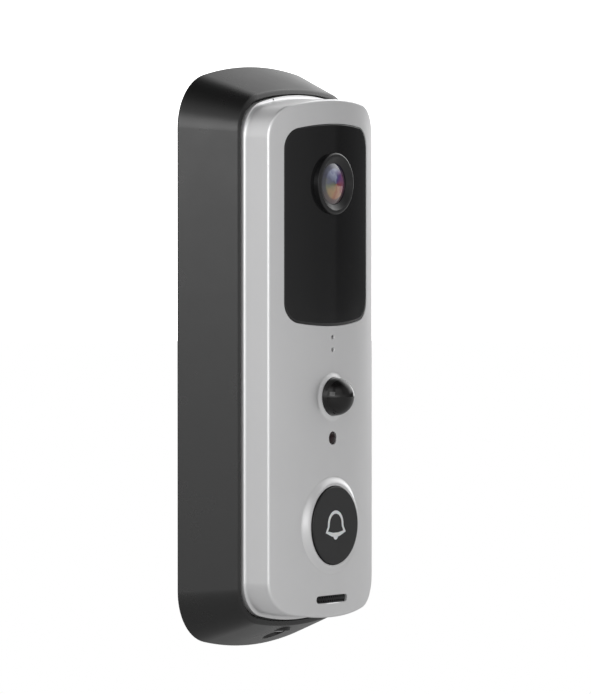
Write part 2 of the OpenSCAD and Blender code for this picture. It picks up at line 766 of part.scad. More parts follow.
module rear_housing() color("#47474a") difference() {
    union() {
        difference() {
            housing_outside();
            housing_inside();
            slab(at(lip_front) - over, shelf_front)
                outline(flange_x + lip_gap, flange_z + lip_gap, flange_arch, flange_corner + lip_gap);
            slab(shelf_front - over, shelf_front + 1.6)
                outline(cover_x - side_t, cover_z - side_t, housing_arch, face_corner);
        }
        // bay for the battery pack
        block(2 * (pocket_x + pocket_t), pocket_high - pocket_low + 2 * pocket_t, pocket_front,
            recess_floor, 0, (pocket_high + pocket_low) / 2);
        // columns for the screws that hold the front cover
        for (x = [-1, 1], z = [-1, 1])
            rod(post_r, shelf_front + 0.05, recess_floor, x * post_x, z * post_z);
        // posts of the power board, and the guide of the set-up button
        for (x = [-1, 1]) rod(2.2, power_back, recess_floor, x * power_post_x, power_z);
        // boss of the security screw
        intersection() {
            translate([0, screw_y, -body_z(screw_y) - 2])
                cylinder(r = 5, h = 2 + body_z(screw_y) + screw_boss_top);
            housing_outside();
        }
    }
    // recess for the wall plate
    slab(recess_floor, over)
        outline(body_x(recess_floor) - rim_t, body_z(recess_floor) - rim_t, housing_arch,
            body_r(recess_floor) - rim_t);
    // inside of the bay
    block(2 * pocket_x, pocket_high - pocket_low, pocket_front + pocket_t, recess_floor + over, 0,
        (pocket_high + pocket_low) / 2);
    for (x = pin_xs) rod(0.7, pocket_front - over, pocket_front + pocket_t + over, x, pins_z);
    // screw holes
    for (x = [-1, 1], z = [-1, 1]) {
        rod(cover_clear_r, shelf_front - over, recess_floor, x * post_x, z * post_z);
        rod(cover_head_r + mount_gap, cover_seat, recess_floor + over, x * post_x, z * post_z);
    }
    for (x = [-1, 1]) rod(board_pilot_r, power_back - over, power_back + 3, x * power_post_x, power_z);
    for (x = [-1, 1])
        rod(terminal_screw_r + fit, wall_front - over, recess_floor + over, x * terminal_x, terminal_z);
    rod(2.5 + run_fit, wall_front - over, recess_floor + over, setup_x, power_z);
    // slots that the plate's hooks and tab enter
    for (x = [-1, 1], z = hook_zs)
        block(hook_w + 0.6, hook_h + lift + 0.4, wall_front - over, recess_floor + over, x * hook_x,
            z - (hook_h + lift + 0.2) / 2);
    block(tab_w + 0.6, tab_h + lift + 0.6, wall_front - over, recess_floor + over, 0,
        tab_z + (tab_h - lift) / 2);
    // security screw: room for its head, then a hole for its shank
    translate([0, screw_y, screw_seat - 8]) cylinder(r = screw_head_r + 0.3, h = 8);
    translate([0, screw_y, screw_seat - over]) cylinder(r = shank_r + fit, h = 2 * over + 1);
}

module housing_seal() color("#121213") difference() {
    slab(at(cover_back), shelf_front)
        outline(flange_x - 0.2, flange_z - 0.2, flange_arch, flange_corner - 0.2);
    slab(at(cover_back) - over, shelf_front + over)
        outline(cover_x - side_t + 0.3, cover_z - side_t + 0.3, face_arch, face_corner - side_t + 0.3);
}

module housing_screws() color("#9c9c9e") for (x = [-1, 1], z = [-1, 1]) difference() {
    union() {
        rod(cover_screw_r, at(7), cover_seat, x * post_x, z * post_z);
        rod(cover_head_r, cover_seat, recess_floor - mount_gap, x * post_x, z * post_z);
    }
    for (turn = [0, 90]) translate([x * post_x, recess_floor - 0.9, z * post_z]) rotate([0, turn, 0])
        translate([-1.1, 0, -0.2]) cube([2.2, 1, 0.4]);
}

// ---- Terminals and set-up button ----
module power_board() color("#1c5f3e") difference() {
    block(25, 22, power_front, power_back, 0, power_z + 7);
    for (x = [-1, 1]) rod(board_clear_r, power_front - over, power_back + over, x * power_post_x, power_z);
}

module terminal_block() color("#c9a24a") for (x = [-1, 1]) difference() {
    block(7, 7, power_back, wall_front, x * terminal_x, terminal_z);
    rod(terminal_screw_r + run_fit, power_back + 0.8, wall_front + over, x * terminal_x, terminal_z);
}

module terminal_screws() color("#b5b5b7") for (x = [-1, 1]) difference() {
    union() {
        rod(terminal_screw_r, wall_front - 3, recess_floor, x * terminal_x, terminal_z);
        rod(2 * terminal_screw_r, recess_floor, recess_floor + 1.8, x * terminal_x, terminal_z);
    }
    block(7, 0.8, recess_floor + 1, recess_floor + 1.8 + over, x * terminal_x, terminal_z);
}

module setup_switch() color("#8d8d90") difference() {
    block(5, 5, power_back, power_back + 2.2, setup_x, power_z);
    rod(1 + run_fit, power_back + 0.9, power_back + 2.2 + over, setup_x, power_z);
}

module setup_button() color("#303033") {
    rod(1, power_back + 1.6, wall_front - 0.7, setup_x, power_z);
    rod(3.1, wall_front - 0.7, wall_front - 0.1, setup_x, power_z);
    rod(2.5, wall_front - 0.2, recess_floor - 0.2, setup_x, power_z);
}

module power_cable() color("#b9772b") ribbon([
        [power_front - 0.15, power_z - 1.5], [power_front - 0.15, pack_top + 6], [at(12), pack_top + 4.2],
        [board_back + 0.15, pack_top + 1.5], [board_back + 0.15, pack_top - 4]], 4, 0.3, -9);

// ---- Wall plate ----
plate_x = body_x(recess_floor) - rim_t - plate_gap;
plate_z = body_z(recess_floor) - rim_t - plate_gap;

module wall_plate() color("#55555a") difference() {
    union() {
        slab(plate_front, 0)
            outline(plate_x, plate_z, housing_arch, body_r(recess_floor) - rim_t - plate_gap);
        // hooks: an arm through the housing's back wall, with a tongue that turns up behind it
        for (x = [-1, 1], z = hook_zs) {
            block(hook_w, hook_h, wall_front - 1.8, plate_front + skin, x * hook_x, z - hook_h / 2);
            block(hook_w, lift + skin, wall_front - 1.8, wall_front - 0.2, x * hook_x, z + lift / 2);
        }
        // tab that the security screw enters
        block(tab_w, tab_h, screw_y - 3, plate_front + skin, 0, tab_z + tab_h / 2);
    }
    slab(plate_front - over, over) outline(plate_hole_w / 2, plate_hole_h / 2, 600, 4);
    for (x = [-1, 1], z = [-1, 1]) {
        slot(wall_slot_l, wall_slot_d, plate_front - over, over, x * slot_pitch_x / 2, z * slot_pitch_z / 2);
        slot(wall_slot_l + 4, wall_slot_d + 4, plate_front - over, plate_front + 1.6,
            x * slot_pitch_x / 2, z * slot_pitch_z / 2);
    }
    translate([0, screw_y, tab_z - over]) cylinder(r = shank_r + run_fit, h = tab_h + 2 * over);
}

module security_screw() color("#8f8f91") difference() {
    union() {
        translate([0, screw_y, screw_seat - 1.8]) cylinder(r = screw_head_r, h = 1.8);
        translate([0, screw_y, screw_seat - skin]) cylinder(r = shank_r, h = tab_z + tab_h - screw_seat);
    }
    translate([0, screw_y, screw_seat - 1.8 - over]) cylinder(r = 1.1, h = 1 + over, $fn = 6);
}

front_cover();
window_panel();
lens_ring();
lens_glass();
lens_barrel();
lens_elements();
lens_holder();
filter_frame();
filter_slider();
filter_glass();
filter_arm();
filter_coil();
image_sensor();
camera_board();
camera_screws();
ir_board();
ir_leds();
camera_cable();
pir_lens();
pir_sensor();
light_guide();
light_sensor();
mic_gasket();
microphone();
button_ring();
button_cap();
bell_icon();
switch_plunger();
button_switch();
button_leds();
speaker();
speaker_gasket();
speaker_mesh();
speaker_cable();
main_board();
processor();
shield_can();
wifi_antenna();
contact_pins();
board_screws();
housing_seal();
rear_housing();
housing_screws();
terminal_block();
terminal_screws();
power_board();
power_cable();
setup_switch();
setup_button();
battery_case();
battery_lid();
battery_cell();
battery_board();
battery_contacts();
charge_port();
wall_plate();
security_screw();
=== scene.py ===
import json
import math
import bmesh
import bpy
from mathutils import Matrix, Vector


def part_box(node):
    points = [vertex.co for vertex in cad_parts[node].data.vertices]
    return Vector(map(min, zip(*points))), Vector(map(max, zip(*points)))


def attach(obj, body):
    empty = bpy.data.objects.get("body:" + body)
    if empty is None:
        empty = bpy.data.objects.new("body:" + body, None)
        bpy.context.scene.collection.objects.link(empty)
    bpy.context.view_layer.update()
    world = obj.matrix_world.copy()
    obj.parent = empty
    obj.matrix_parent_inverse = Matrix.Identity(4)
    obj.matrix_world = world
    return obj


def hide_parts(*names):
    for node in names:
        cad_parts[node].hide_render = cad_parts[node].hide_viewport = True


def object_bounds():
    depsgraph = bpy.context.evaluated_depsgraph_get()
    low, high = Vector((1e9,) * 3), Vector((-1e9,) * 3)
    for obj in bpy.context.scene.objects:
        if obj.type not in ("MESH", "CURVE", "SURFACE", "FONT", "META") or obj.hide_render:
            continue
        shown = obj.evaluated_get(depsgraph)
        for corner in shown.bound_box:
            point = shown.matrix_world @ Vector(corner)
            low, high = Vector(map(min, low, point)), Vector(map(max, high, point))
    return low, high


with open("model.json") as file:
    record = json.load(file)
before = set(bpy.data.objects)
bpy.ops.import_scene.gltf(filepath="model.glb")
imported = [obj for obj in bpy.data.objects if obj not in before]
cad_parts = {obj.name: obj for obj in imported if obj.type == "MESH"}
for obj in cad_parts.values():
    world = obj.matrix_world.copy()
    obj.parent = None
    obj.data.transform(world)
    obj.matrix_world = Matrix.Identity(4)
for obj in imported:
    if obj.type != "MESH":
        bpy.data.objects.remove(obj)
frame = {"nodes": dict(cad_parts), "record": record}
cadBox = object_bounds()
scene = bpy.context.scene
replaced = []
slotOf = {part["node"]: part["material_slot"] for part in frame["record"]["subparts"]}
print("frame loaded,", len(frame["nodes"]), "nodes")


# ---- camera ----
view = {"azimuth": 54.58, "elevation": 2.15, "distance": 1816.2, "lens": 361.8,
        "right": 9.748, "up": -3.007}


def makeCamera():
    # all in millimetres round the crown of the silver face
    azimuth, tilt = math.radians(view["azimuth"]), math.radians(view["elevation"])
    ahead = Vector((math.sin(azimuth) * math.cos(tilt), math.cos(azimuth) * math.cos(tilt), -math.sin(tilt)))
    right = Vector((math.cos(azimuth), -math.sin(azimuth), 0))
    up = right.cross(ahead)
    crown = Vector((0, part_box("front_cover")[0].y * 1000, 0))
    spot = crown - right * view["right"] - up * view["up"] - ahead * view["distance"]
    data = bpy.data.cameras.new("camera")
    data.lens = view["lens"]
    data.clip_start, data.clip_end = 0.05, 20
    camera = bpy.data.objects.new("camera", data)
    camera.matrix_world = Matrix((right, up, -ahead)).transposed().to_4x4()
    camera.location = spot / 1000
    scene.collection.objects.link(camera)
    scene.camera = camera


makeCamera()
print("camera placed")


# ---- modelling helpers, in millimetres ----
curve = {"radius": 74.0, "crown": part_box("front_cover")[0].y * 1000}
steps = {"arch": 34, "corner": 14, "turn": 96}
sides = (-1, 1)
corners = [(sx, sz) for sx in sides for sz in sides]


def box(node):
    low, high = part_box(node)
    return low * 1000, high * 1000


def centreZ(node):
    return (box(node)[0].z + box(node)[1].z) / 2


def arc(count, last=math.pi / 2):
    # the sine and cosine of angles from 0 to the last one
    return [(math.sin(last * k / count), math.cos(last * k / count)) for k in range(count + 1)]


def faceY(x, inset=0.0):
    # where the curved face, or a layer inset behind it, lies at x
    return curve["crown"] + curve["radius"] - math.sqrt((curve["radius"] - inset) ** 2 - x * x)


def outlineLoop(bm, shape, station):
    # a closed loop of edges: shape is half width, half height, radius of the arched ends, corner radius
    width, height, arch, corner = shape
    rise = math.sqrt((arch - corner) ** 2 - (width - corner) ** 2)
    turn = math.atan2(width - corner, rise)
    oldVerts, oldEdges = set(bm.verts), set(bm.edges)
    line = bmesh.ops.create_vert(bm, co=(0, 0, height))["vert"]
    for centre, angle, count in (((0, 0, height - arch), turn, steps["arch"]),
                                 ((width - corner, 0, height - arch + rise), math.pi / 2 - turn, steps["corner"])):
        line = bmesh.ops.spin(bm, geom=line, cent=centre, axis=(0, 1, 0), angle=angle, steps=count)["geom_last"]
    side = bmesh.ops.extrude_vert_indiv(bm, verts=[v for v in line if isinstance(v, bmesh.types.BMVert)])["verts"]
    side[0].co = (width, 0, 0)
    for axis in ("Z", "X"):
        fresh = [v for v in bm.verts if v not in oldVerts] + [e for e in bm.edges if e not in oldEdges]
        bmesh.ops.mirror(bm, geom=fresh, axis=axis, merge_dist=1e-4)
    for vert in bm.verts:
        if vert not in oldVerts:
            vert.co.y = station(vert.co.x) if callable(station) else station
    return [e for e in bm.edges if e not in oldEdges]


def grown(shape, by):
    return tuple(size + by for size in shape)


def loft(bm, rings):
    loops = [outlineLoop(bm, shape, station) for shape, station in rings]
    for near, far in zip(loops, loops[1:]):
        bmesh.ops.bridge_loops(bm, edges=near + far)
    return loops


def capEnds(bm, loops, strips=False):
    # closes the first and the last loop; strips follow a curved face, which one flat face can't
    for edges in (loops[0], loops[-1]):
        bmesh.ops.edgeloop_fill(bm, edges=edges)
        columns = {}
        for vert in {v for e in edges for v in e.verts}:
            columns.setdefault(round(vert.co.x, 3), []).append(vert)
        for x, pair in sorted(columns.items()):
            if strips and len(pair) == 2 and abs(x) < max(columns) - 0.002:
                bmesh.ops.connect_verts(bm, verts=pair)


def roundedRings(shape, radius, surface, count=5):
    # rings from inside the surface out over a rounded rim to the side wall
    rings = [(grown(shape, -radius - 0.4), surface)]
    for sine, cosine in arc(count)[::-1]:
        rings.append((grown(shape, -radius * (1 - cosine)),
                      lambda x, drop=radius * (1 - sine): surface(x) + drop))
    return rings


def moved(bm, old, x, z):
    # shifts what was added since the old vertices were listed
    bmesh.ops.translate(bm, vec=(x, 0, z), verts=[v for v in bm.verts if v not in old])


def prism(bm, shape, rings, x=0.0, z=0.0):
    # a straight solid: rings are (how far the outline grows, y)
    old = set(bm.verts)
    capEnds(bm, loft(bm, [(grown(shape, by), y) for by, y in rings]))
    moved(bm, old, x, z)


def curvedPlate(bm, shape, front, back, centre, edge=0.0):
    # a plate that follows the curved face between two depths
    rings = roundedRings(shape, edge, lambda x: faceY(x, front)) if edge else []
    past = edge + 0.1 if edge else 0
    rings += [(shape, lambda x: faceY(x, front) + past), (shape, lambda x: faceY(x, back))]
    old = set(bm.verts)
    capEnds(bm, loft(bm, rings), True)
    moved(bm, old, 0, centre)


def polyline(bm, points):
    # a chain of edges through the points; returns its vertices and edges
    old = set(bm.verts)
    last = bmesh.ops.create_vert(bm, co=points[0])["vert"]
    for point in points[1:]:
        last = bmesh.ops.extrude_vert_indiv(bm, verts=last)["verts"]
        last[0].co = point
    line = [v for v in bm.verts if v not in old]
    return line + list({e for v in line for e in v.link_edges})


def turned(bm, profile, x=0.0, z=0.0, count=None):
    # a solid of revolution about Y from (radius, y) points; both ends lie on the axis or the profile is a closed ring
    old = set(bm.verts)
    geom = polyline(bm, [(radius, y, 0) for radius, y in profile])
    bmesh.ops.spin(bm, geom=geom, cent=(0, 0, 0), axis=(0, 1, 0), angle=2 * math.pi,
                   steps=count or steps["turn"], use_merge=True)
    bmesh.ops.remove_doubles(bm, verts=[v for v in bm.verts if v not in old], dist=1e-4)
    moved(bm, old, x, z)


def rod(bm, radius, near, far, x=0.0, z=0.0, count=48):
    turned(bm, [(0, near), (radius, near), (radius, far), (0, far)], x, z, count)


def block(bm, width, height, near, far, x=0.0, z=0.0):
    made = bmesh.ops.create_cube(bm, size=1)["verts"]
    bmesh.ops.scale(bm, vec=(width, far - near, height), verts=made)
    bmesh.ops.translate(bm, vec=(x, (near + far) / 2, z), verts=made)


def outwards(bm):
    bmesh.ops.recalc_face_normals(bm, faces=bm.faces)
    return bm


def solid(make, *args):
    # one closed solid with its faces turned outwards
    bm = bmesh.new()
    make(bm, *args)
    return outwards(bm)


def upright(profile, y, count):
    # a solid of revolution about a vertical line at y, from (radius, z) points
    bm = solid(turned, profile, 0, 0, count)
    bmesh.ops.rotate(bm, cent=(0, 0, 0), matrix=Matrix.Rotation(math.pi / 2, 3, "X"), verts=bm.verts)
    bmesh.ops.translate(bm, vec=(0, y, 0), verts=bm.verts)
    return bm


def asObject(bm, name):
    mesh = bpy.data.meshes.new(name)
    bm.to_mesh(mesh)
    bm.free()
    piece = bpy.data.objects.new(name, mesh)
    scene.collection.objects.link(piece)
    return piece


def carve(piece, tools, operation="DIFFERENCE"):
    # joins or cuts with all the solids at once, and keeps the result as the piece's own mesh
    joined = bmesh.new()
    for bm in tools:
        part = bpy.data.meshes.new("part")
        bm.to_mesh(part)
        bm.free()
        joined.from_mesh(part)
        bpy.data.meshes.remove(part)
    tool = asObject(joined, "tool")
    change = piece.modifiers.new("carve", "BOOLEAN")
    change.operation, change.solver, change.object = operation, "EXACT", tool
    change.use_self = len(tools) > 1
    mesh = bpy.data.meshes.new_from_object(piece.evaluated_get(bpy.context.evaluated_depsgraph_get()))
    piece.modifiers.clear()
    spent, piece.data = piece.data, mesh
    bpy.data.meshes.remove(spent)
    bpy.data.objects.remove(tool)


def settle(piece, body, node, smooth=32):
    # smooth shading, material, body and the CAD node that the piece stands for
    mesh = piece.data
    tidy = bmesh.new()
    tidy.from_mesh(mesh)
    bmesh.ops.remove_doubles(tidy, verts=tidy.verts, dist=2e-4)
    bmesh.ops.dissolve_degenerate(tidy, edges=tidy.edges, dist=1e-4)
    bmesh.ops.scale(tidy, vec=(0.001, 0.001, 0.001), verts=tidy.verts)
    tidy.to_mesh(mesh)
    tidy.free()
    mesh.shade_smooth()
    mesh.set_sharp_from_angle(angle=math.radians(smooth))
    flats = piece.modifiers.new("flats", "WEIGHTED_NORMAL")  # keeps large faces evenly lit beside rounded edges
    flats.keep_sharp = True
    mesh.materials.clear()
    mesh.materials.append(finishes[slotOf[node]])
    mesh.name = piece.name
    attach(piece, body)
    if node not in replaced:
        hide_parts(node)
        replaced.append(node)


# ---- shader nodes ----
def feed(node, inputs):
    # gives each input a value, or links it to a socket
    for name, value in inputs.items():
        if isinstance(value, bpy.types.NodeSocket):
            node.id_data.links.new(value, node.inputs[name])
        else:
            node.inputs[name].default_value = value
    return node


def addNode(tree, kind, inputs=None, **settings):
    node = tree.nodes.new(kind)
    for name, value in settings.items():
        setattr(node, name, value)
    return feed(node, inputs or {})


def maths(tree, operation, *values):
    return addNode(tree, "ShaderNodeMath", dict(enumerate(values)), operation=operation).outputs[0]


def mapRange(tree, value, low, high, toLow=0, toHigh=1):
    limits = {"Value": value, "From Min": low, "From Max": high, "To Min": toLow, "To Max": toHigh}
    return addNode(tree, "ShaderNodeMapRange", limits).outputs["Result"]


def opaque(colour):
    # a colour or a grey with full alpha
    return (*colour, 1) if isinstance(colour, tuple) else (colour, colour, colour, 1)


def mixColour(tree, amount, first, second, **settings):
    first, second = [c if isinstance(c, bpy.types.NodeSocket) else opaque(c) for c in (first, second)]
    return addNode(tree, "ShaderNodeMix", {0: amount, 6: first, 7: second}, data_type="RGBA", **settings).outputs[2]


def colourRamp(tree, place, stops):
    ramp = addNode(tree, "ShaderNodeValToRGB", {"Fac": place})
    elements = ramp.color_ramp.elements
    for element, (at, colour) in zip(elements, (stops[0], stops[-1])):
        element.position, element.color = at, opaque(colour)
    for at, colour in stops[1:-1]:
        elements.new(at).color = opaque(colour)
    return ramp.outputs["Color"]


def newGroup(name, numbers, results):
    # a node group that is given a vector and numbers; returns it and its inputs as sockets
    group = bpy.data.node_groups.new(name, "ShaderNodeTree")
    group.interface.new_socket(name="Vector", in_out="INPUT", socket_type="NodeSocketVector")
    for title, start in numbers.items():
        group.interface.new_socket(name=title, in_out="INPUT", socket_type="NodeSocketFloat").default_value = start
    for title in results:
        group.interface.new_socket(name=title, in_out="OUTPUT", socket_type="NodeSocketFloat")
    return group, group.nodes.new("NodeGroupInput").outputs


def grainGroup():
    # fine moulded grain, and slow clouds that vary colour and gloss
    group, given = newGroup("moulded grain", {"Grain Scale": 3000.0, "Cloud Scale": 60.0}, ("Height", "Cloud"))
    vector, scale = given["Vector"], given["Grain Scale"]
    fine = addNode(group, "ShaderNodeTexNoise", {"Vector": vector, "Scale": scale, "Detail": 3})
    cells = addNode(group, "ShaderNodeTexVoronoi", {"Vector": vector, "Scale": scale}, feature="SMOOTH_F1")
    slow = addNode(group, "ShaderNodeTexNoise",
                   {"Vector": vector, "Scale": given["Cloud Scale"], "Detail": 4, "Roughness": 0.6})
    addNode(group, "NodeGroupOutput",
            {"Height": maths(group, "MULTIPLY", fine.outputs["Fac"], cells.outputs["Distance"]),
             "Cloud": mapRange(group, slow.outputs["Fac"], 0.3, 0.7)})
    return group


def maskGroup(name, scale, amount, detail, shapeOf):
    # a mask from the shape of the surface, broken up by noise
    group, given = newGroup(name, {"Scale": scale, "Amount": amount}, ("Mask",))
    noise = addNode(group, "ShaderNodeTexNoise",
                    {"Vector": given["Vector"], "Scale": given["Scale"], "Detail": detail})
    shape = shapeOf(group, addNode(group, "ShaderNodeNewGeometry").outputs)
    broken = maths(group, "MULTIPLY", shape, noise.outputs["Fac"])
    addNode(group, "NodeGroupOutput", {"Mask": maths(group, "MULTIPLY", broken, given["Amount"])})
    return group


def cornersOf(group, geometry):
    return mapRange(group, geometry["Pointiness"], 0.53, 0.62)


def facingUp(group, geometry):
    split = addNode(group, "ShaderNodeSeparateXYZ", {0: geometry["Normal"]})
    return mapRange(group, split.outputs["Z"], 0.2, 1)


grain = grainGroup()
wear = maskGroup("worn edges", 400.0, 0.5, 5, cornersOf)
dust = maskGroup("settled dust", 220.0, 0.2, 6, facingUp)


# ---- materials: one finish for each slot of the record ----
# base and dark are the two ends of the slow colour change; gloss is the roughness at both ends
finishSettings = {
    "silver_cover": {"base": (0.78, 0.78, 0.785), "dark": (0.76, 0.76, 0.765), "gloss": (0.33, 0.37), "metal": 0.65,
                     "grain": 5200, "bump": 0.010, "worn": (0.72, 0.72, 0.73), "wear": 0.15},
    "black_window": {"base": (0.0085, 0.0085, 0.009), "dark": (0.0075, 0.0075, 0.008), "gloss": (0.06, 0.09),
                     "grain": 2400, "bump": 0.002, "worn": (0.03, 0.03, 0.03), "wear": 0.1},
    "black_ring": {"base": (0.006, 0.006, 0.0065), "dark": (0.004, 0.004, 0.0045), "gloss": (0.3, 0.36),
                   "grain": 3200, "bump": 0.003, "worn": (0.05, 0.05, 0.05), "wear": 0.2},
    # the lens glass's base colour is painted reflection, under a real clear coat
    "coated_glass": {"base": (0.03, 0.03, 0.05), "dark": (0.02, 0.02, 0.03), "gloss": (0.04, 0.06), "coat": 1.0,
                     "pattern": "coating"},
    "clear_glass": {"base": (0.75, 0.80, 0.86), "dark": (0.7, 0.76, 0.84), "gloss": (0.02, 0.04),
                    "transmission": 0.9},
    "filter_glass": {"base": (0.45, 0.12, 0.18), "dark": (0.36, 0.09, 0.16), "gloss": (0.03, 0.05),
                     "transmission": 0.6},
    "black_metal": {"base": (0.02, 0.02, 0.021), "dark": (0.012, 0.012, 0.013), "gloss": (0.3, 0.38), "metal": 0.8,
                    "grain": 3800, "bump": 0.004, "pattern": "rings", "worn": (0.4, 0.4, 0.4), "wear": 0.2},
    "black_plastic": {"base": (0.030, 0.030, 0.032), "dark": (0.022, 0.022, 0.024), "gloss": (0.48, 0.58),
                      "grain": 2600, "bump": 0.02, "worn": (0.09, 0.09, 0.09), "wear": 0.35, "dust": 0.06},
    "plate_black": {"base": (0.042, 0.042, 0.045), "dark": (0.032, 0.032, 0.034), "gloss": (0.5, 0.6),
                    "grain": 2200, "bump": 0.03, "worn": (0.12, 0.12, 0.12), "wear": 0.4, "dust": 0.08},
    "dark_housing": {"base": (0.012, 0.012, 0.012), "dark": (0.009, 0.009, 0.009), "gloss": (0.26, 0.32),
                     "grain": 3000, "bump": 0.008, "worn": (0.12, 0.12, 0.12), "wear": 0.2},
    "dome_black": {"base": (0.007, 0.0065, 0.0065), "dark": (0.005, 0.005, 0.005), "gloss": (0.07, 0.09),
                   "specular": 0.38, "grain": 1500, "bump": 0.001},
    "red_window": {"base": (0.016, 0.005, 0.006), "dark": (0.010, 0.003, 0.004), "gloss": (0.2, 0.26),
                   "specular": 0.25, "grain": 2400, "bump": 0.002},
    "button_black": {"base": (0.009, 0.009, 0.0095), "dark": (0.008, 0.008, 0.0085), "gloss": (0.42, 0.5),
                     "grain": 4200, "bump": 0.008, "worn": (0.05, 0.05, 0.05), "wear": 0.2},
    "white_icon": {"base": (0.80, 0.80, 0.80), "dark": (0.74, 0.74, 0.74), "gloss": (0.3, 0.38), "grain": 3200,
                   "bump": 0.004, "subsurface": 0.15},
    "rubber": {"base": (0.018, 0.018, 0.018), "dark": (0.012, 0.012, 0.012), "gloss": (0.68, 0.8), "grain": 1800,
               "bump": 0.03, "dust": 0.1},
    "brass": {"base": (0.78, 0.57, 0.25), "dark": (0.60, 0.42, 0.17), "gloss": (0.2, 0.34), "metal": 1.0,
              "grain": 2600, "bump": 0.006, "worn": (0.9, 0.72, 0.4), "wear": 0.4},
    "steel": {"base": (0.62, 0.62, 0.63), "dark": (0.50, 0.50, 0.52), "gloss": (0.22, 0.34), "metal": 1.0,
              "grain": 2400, "bump": 0.008, "pattern": "brushed", "worn": (0.8, 0.8, 0.8), "wear": 0.4},
    "copper_wire": {"base": (0.62, 0.26, 0.11), "dark": (0.40, 0.14, 0.06), "gloss": (0.22, 0.3), "metal": 1.0,
                    "coat": 0.5, "grain": 2400, "bump": 0.05, "pattern": "winding"},
    "circuit_board": {"base": (0.020, 0.115, 0.055), "dark": (0.012, 0.075, 0.035), "gloss": (0.26, 0.36),
                      "coat": 0.3, "grain": 2600, "bump": 0.02, "pattern": "traces"},
    "flex_cable": {"base": (0.50, 0.24, 0.05), "dark": (0.38, 0.17, 0.035), "gloss": (0.2, 0.3), "coat": 0.3,
                   "grain": 1800, "bump": 0.01, "pattern": "lines"},
    "wire_red": {"base": (0.50, 0.035, 0.025), "dark": (0.38, 0.025, 0.02), "gloss": (0.35, 0.45), "grain": 2400,
                 "bump": 0.01},
    "chip": {"base": (0.022, 0.022, 0.025), "dark": (0.016, 0.016, 0.018), "gloss": (0.5, 0.62), "grain": 5200,
             "bump": 0.02},
    "led_lens": {"base": (0.80, 0.77, 0.62), "dark": (0.70, 0.67, 0.52), "gloss": (0.1, 0.16), "grain": 1800,
                 "bump": 0.002, "subsurface": 0.2},
    "cell_wrap": {"base": (0.05, 0.17, 0.42), "dark": (0.04, 0.13, 0.34), "gloss": (0.22, 0.32), "coat": 0.4,
                  "grain": 700, "bump": 0.02},
}


def patternOf(tree, kind, vector):
    # a finish's own pattern, which is both its relief and the mask of its second colour
    waves = {"lines": ((2400, 1, 1), "BANDS", "X", "SAW", 0.5), "winding": ((1, 1, 1), "BANDS", "Z", "SIN", 2200),
             "rings": ((1, 1, 1), "RINGS", "Y", "SIN", 900)}
    if kind == "brushed":
        long = addNode(tree, "ShaderNodeMapping", {"Vector": vector, "Scale": (60, 900, 6000)}).outputs["Vector"]
        return addNode(tree, "ShaderNodeTexNoise", {"Vector": long, "Scale": 1, "Detail": 4}).outputs["Fac"]
    if kind == "traces":  # copper tracks under the solder mask: the borders of square cells
        cells = addNode(tree, "ShaderNodeTexVoronoi", {"Vector": vector, "Scale": 420, "Randomness": 0.35},
                        feature="DISTANCE_TO_EDGE")
        return mapRange(tree, cells.outputs["Distance"], 0.08, 0.1, 1, 0)
    stretch, kindOf, way, profile, scale = waves[kind]
    place = addNode(tree, "ShaderNodeMapping", {"Vector": vector, "Scale": stretch}).outputs["Vector"]
    direction = {"BANDS": "bands_direction", "RINGS": "rings_direction"}[kindOf]
    return addNode(tree, "ShaderNodeTexWave", {"Vector": place, "Scale": scale}, wave_type=kindOf,
                   wave_profile=profile, **{direction: way}).outputs["Fac"]


# painted reflection on the lens: the hues go round the axis, and the rings set how bright they are from the middle out
# to the rim
coating = {"reach": 0.0054, "sway": 0.3,
           "hues": [(0.0, (0.34, 0.13, 0.06)), (0.10, (0.36, 0.22, 0.10)), (0.21, (0.16, 0.17, 0.10)),
                    (0.32, (0.12, 0.13, 0.20)), (0.44, (0.30, 0.33, 0.46)), (0.52, (0.08, 0.08, 0.22)),
                    (0.60, (0.13, 0.05, 0.22)), (0.72, (0.24, 0.07, 0.17)), (0.82, (0.30, 0.06, 0.07)),
                    (0.92, (0.46, 0.24, 0.14)), (1.0, (0.34, 0.13, 0.06))],
           "rings": [(0.0, 0.9), (0.08, 0.75), (0.30, 1.0), (0.70, 0.95), (0.76, 0.42), (0.80, 0.22), (0.93, 0.16),
                     (1.0, 0.05)]}


def paintedReflectionColour(tree, vector, base):
    # painted reflections: the bluish, violet, red and amber reflections of the coated elements behind the front glass,
    # painted into the base colour round the axis
    middle = (0, 0, -centreZ("lens_glass") / 1000)
    centred = addNode(tree, "ShaderNodeMapping", {"Vector": vector, "Location": middle})
    split = addNode(tree, "ShaderNodeSeparateXYZ", {0: centred.outputs["Vector"]}).outputs
    share = mapRange(tree, maths(tree, "ARCTAN2", split["X"], split["Z"]), -math.pi, math.pi)
    # the sectors of painted reflection run into each other unevenly
    drift = addNode(tree, "ShaderNodeTexNoise", {"Vector": vector, "Scale": 420}).outputs["Fac"]
    shifted = maths(tree, "ADD", maths(tree, "MULTIPLY_ADD", drift, coating["sway"], -coating["sway"] / 2), share)
    flat = addNode(tree, "ShaderNodeCombineXYZ", {"X": split["X"], "Z": split["Z"]}).outputs["Vector"]
    distance = addNode(tree, "ShaderNodeVectorMath", {0: flat}, operation="LENGTH").outputs["Value"]
    # painted highlight: the painted reflections are bright over most of the glass and fade out towards its rim
    rings = colourRamp(tree, mapRange(tree, distance, 0, coating["reach"]), coating["rings"])
    return mixColour(tree, rings, base, colourRamp(tree, shifted, coating["hues"]))


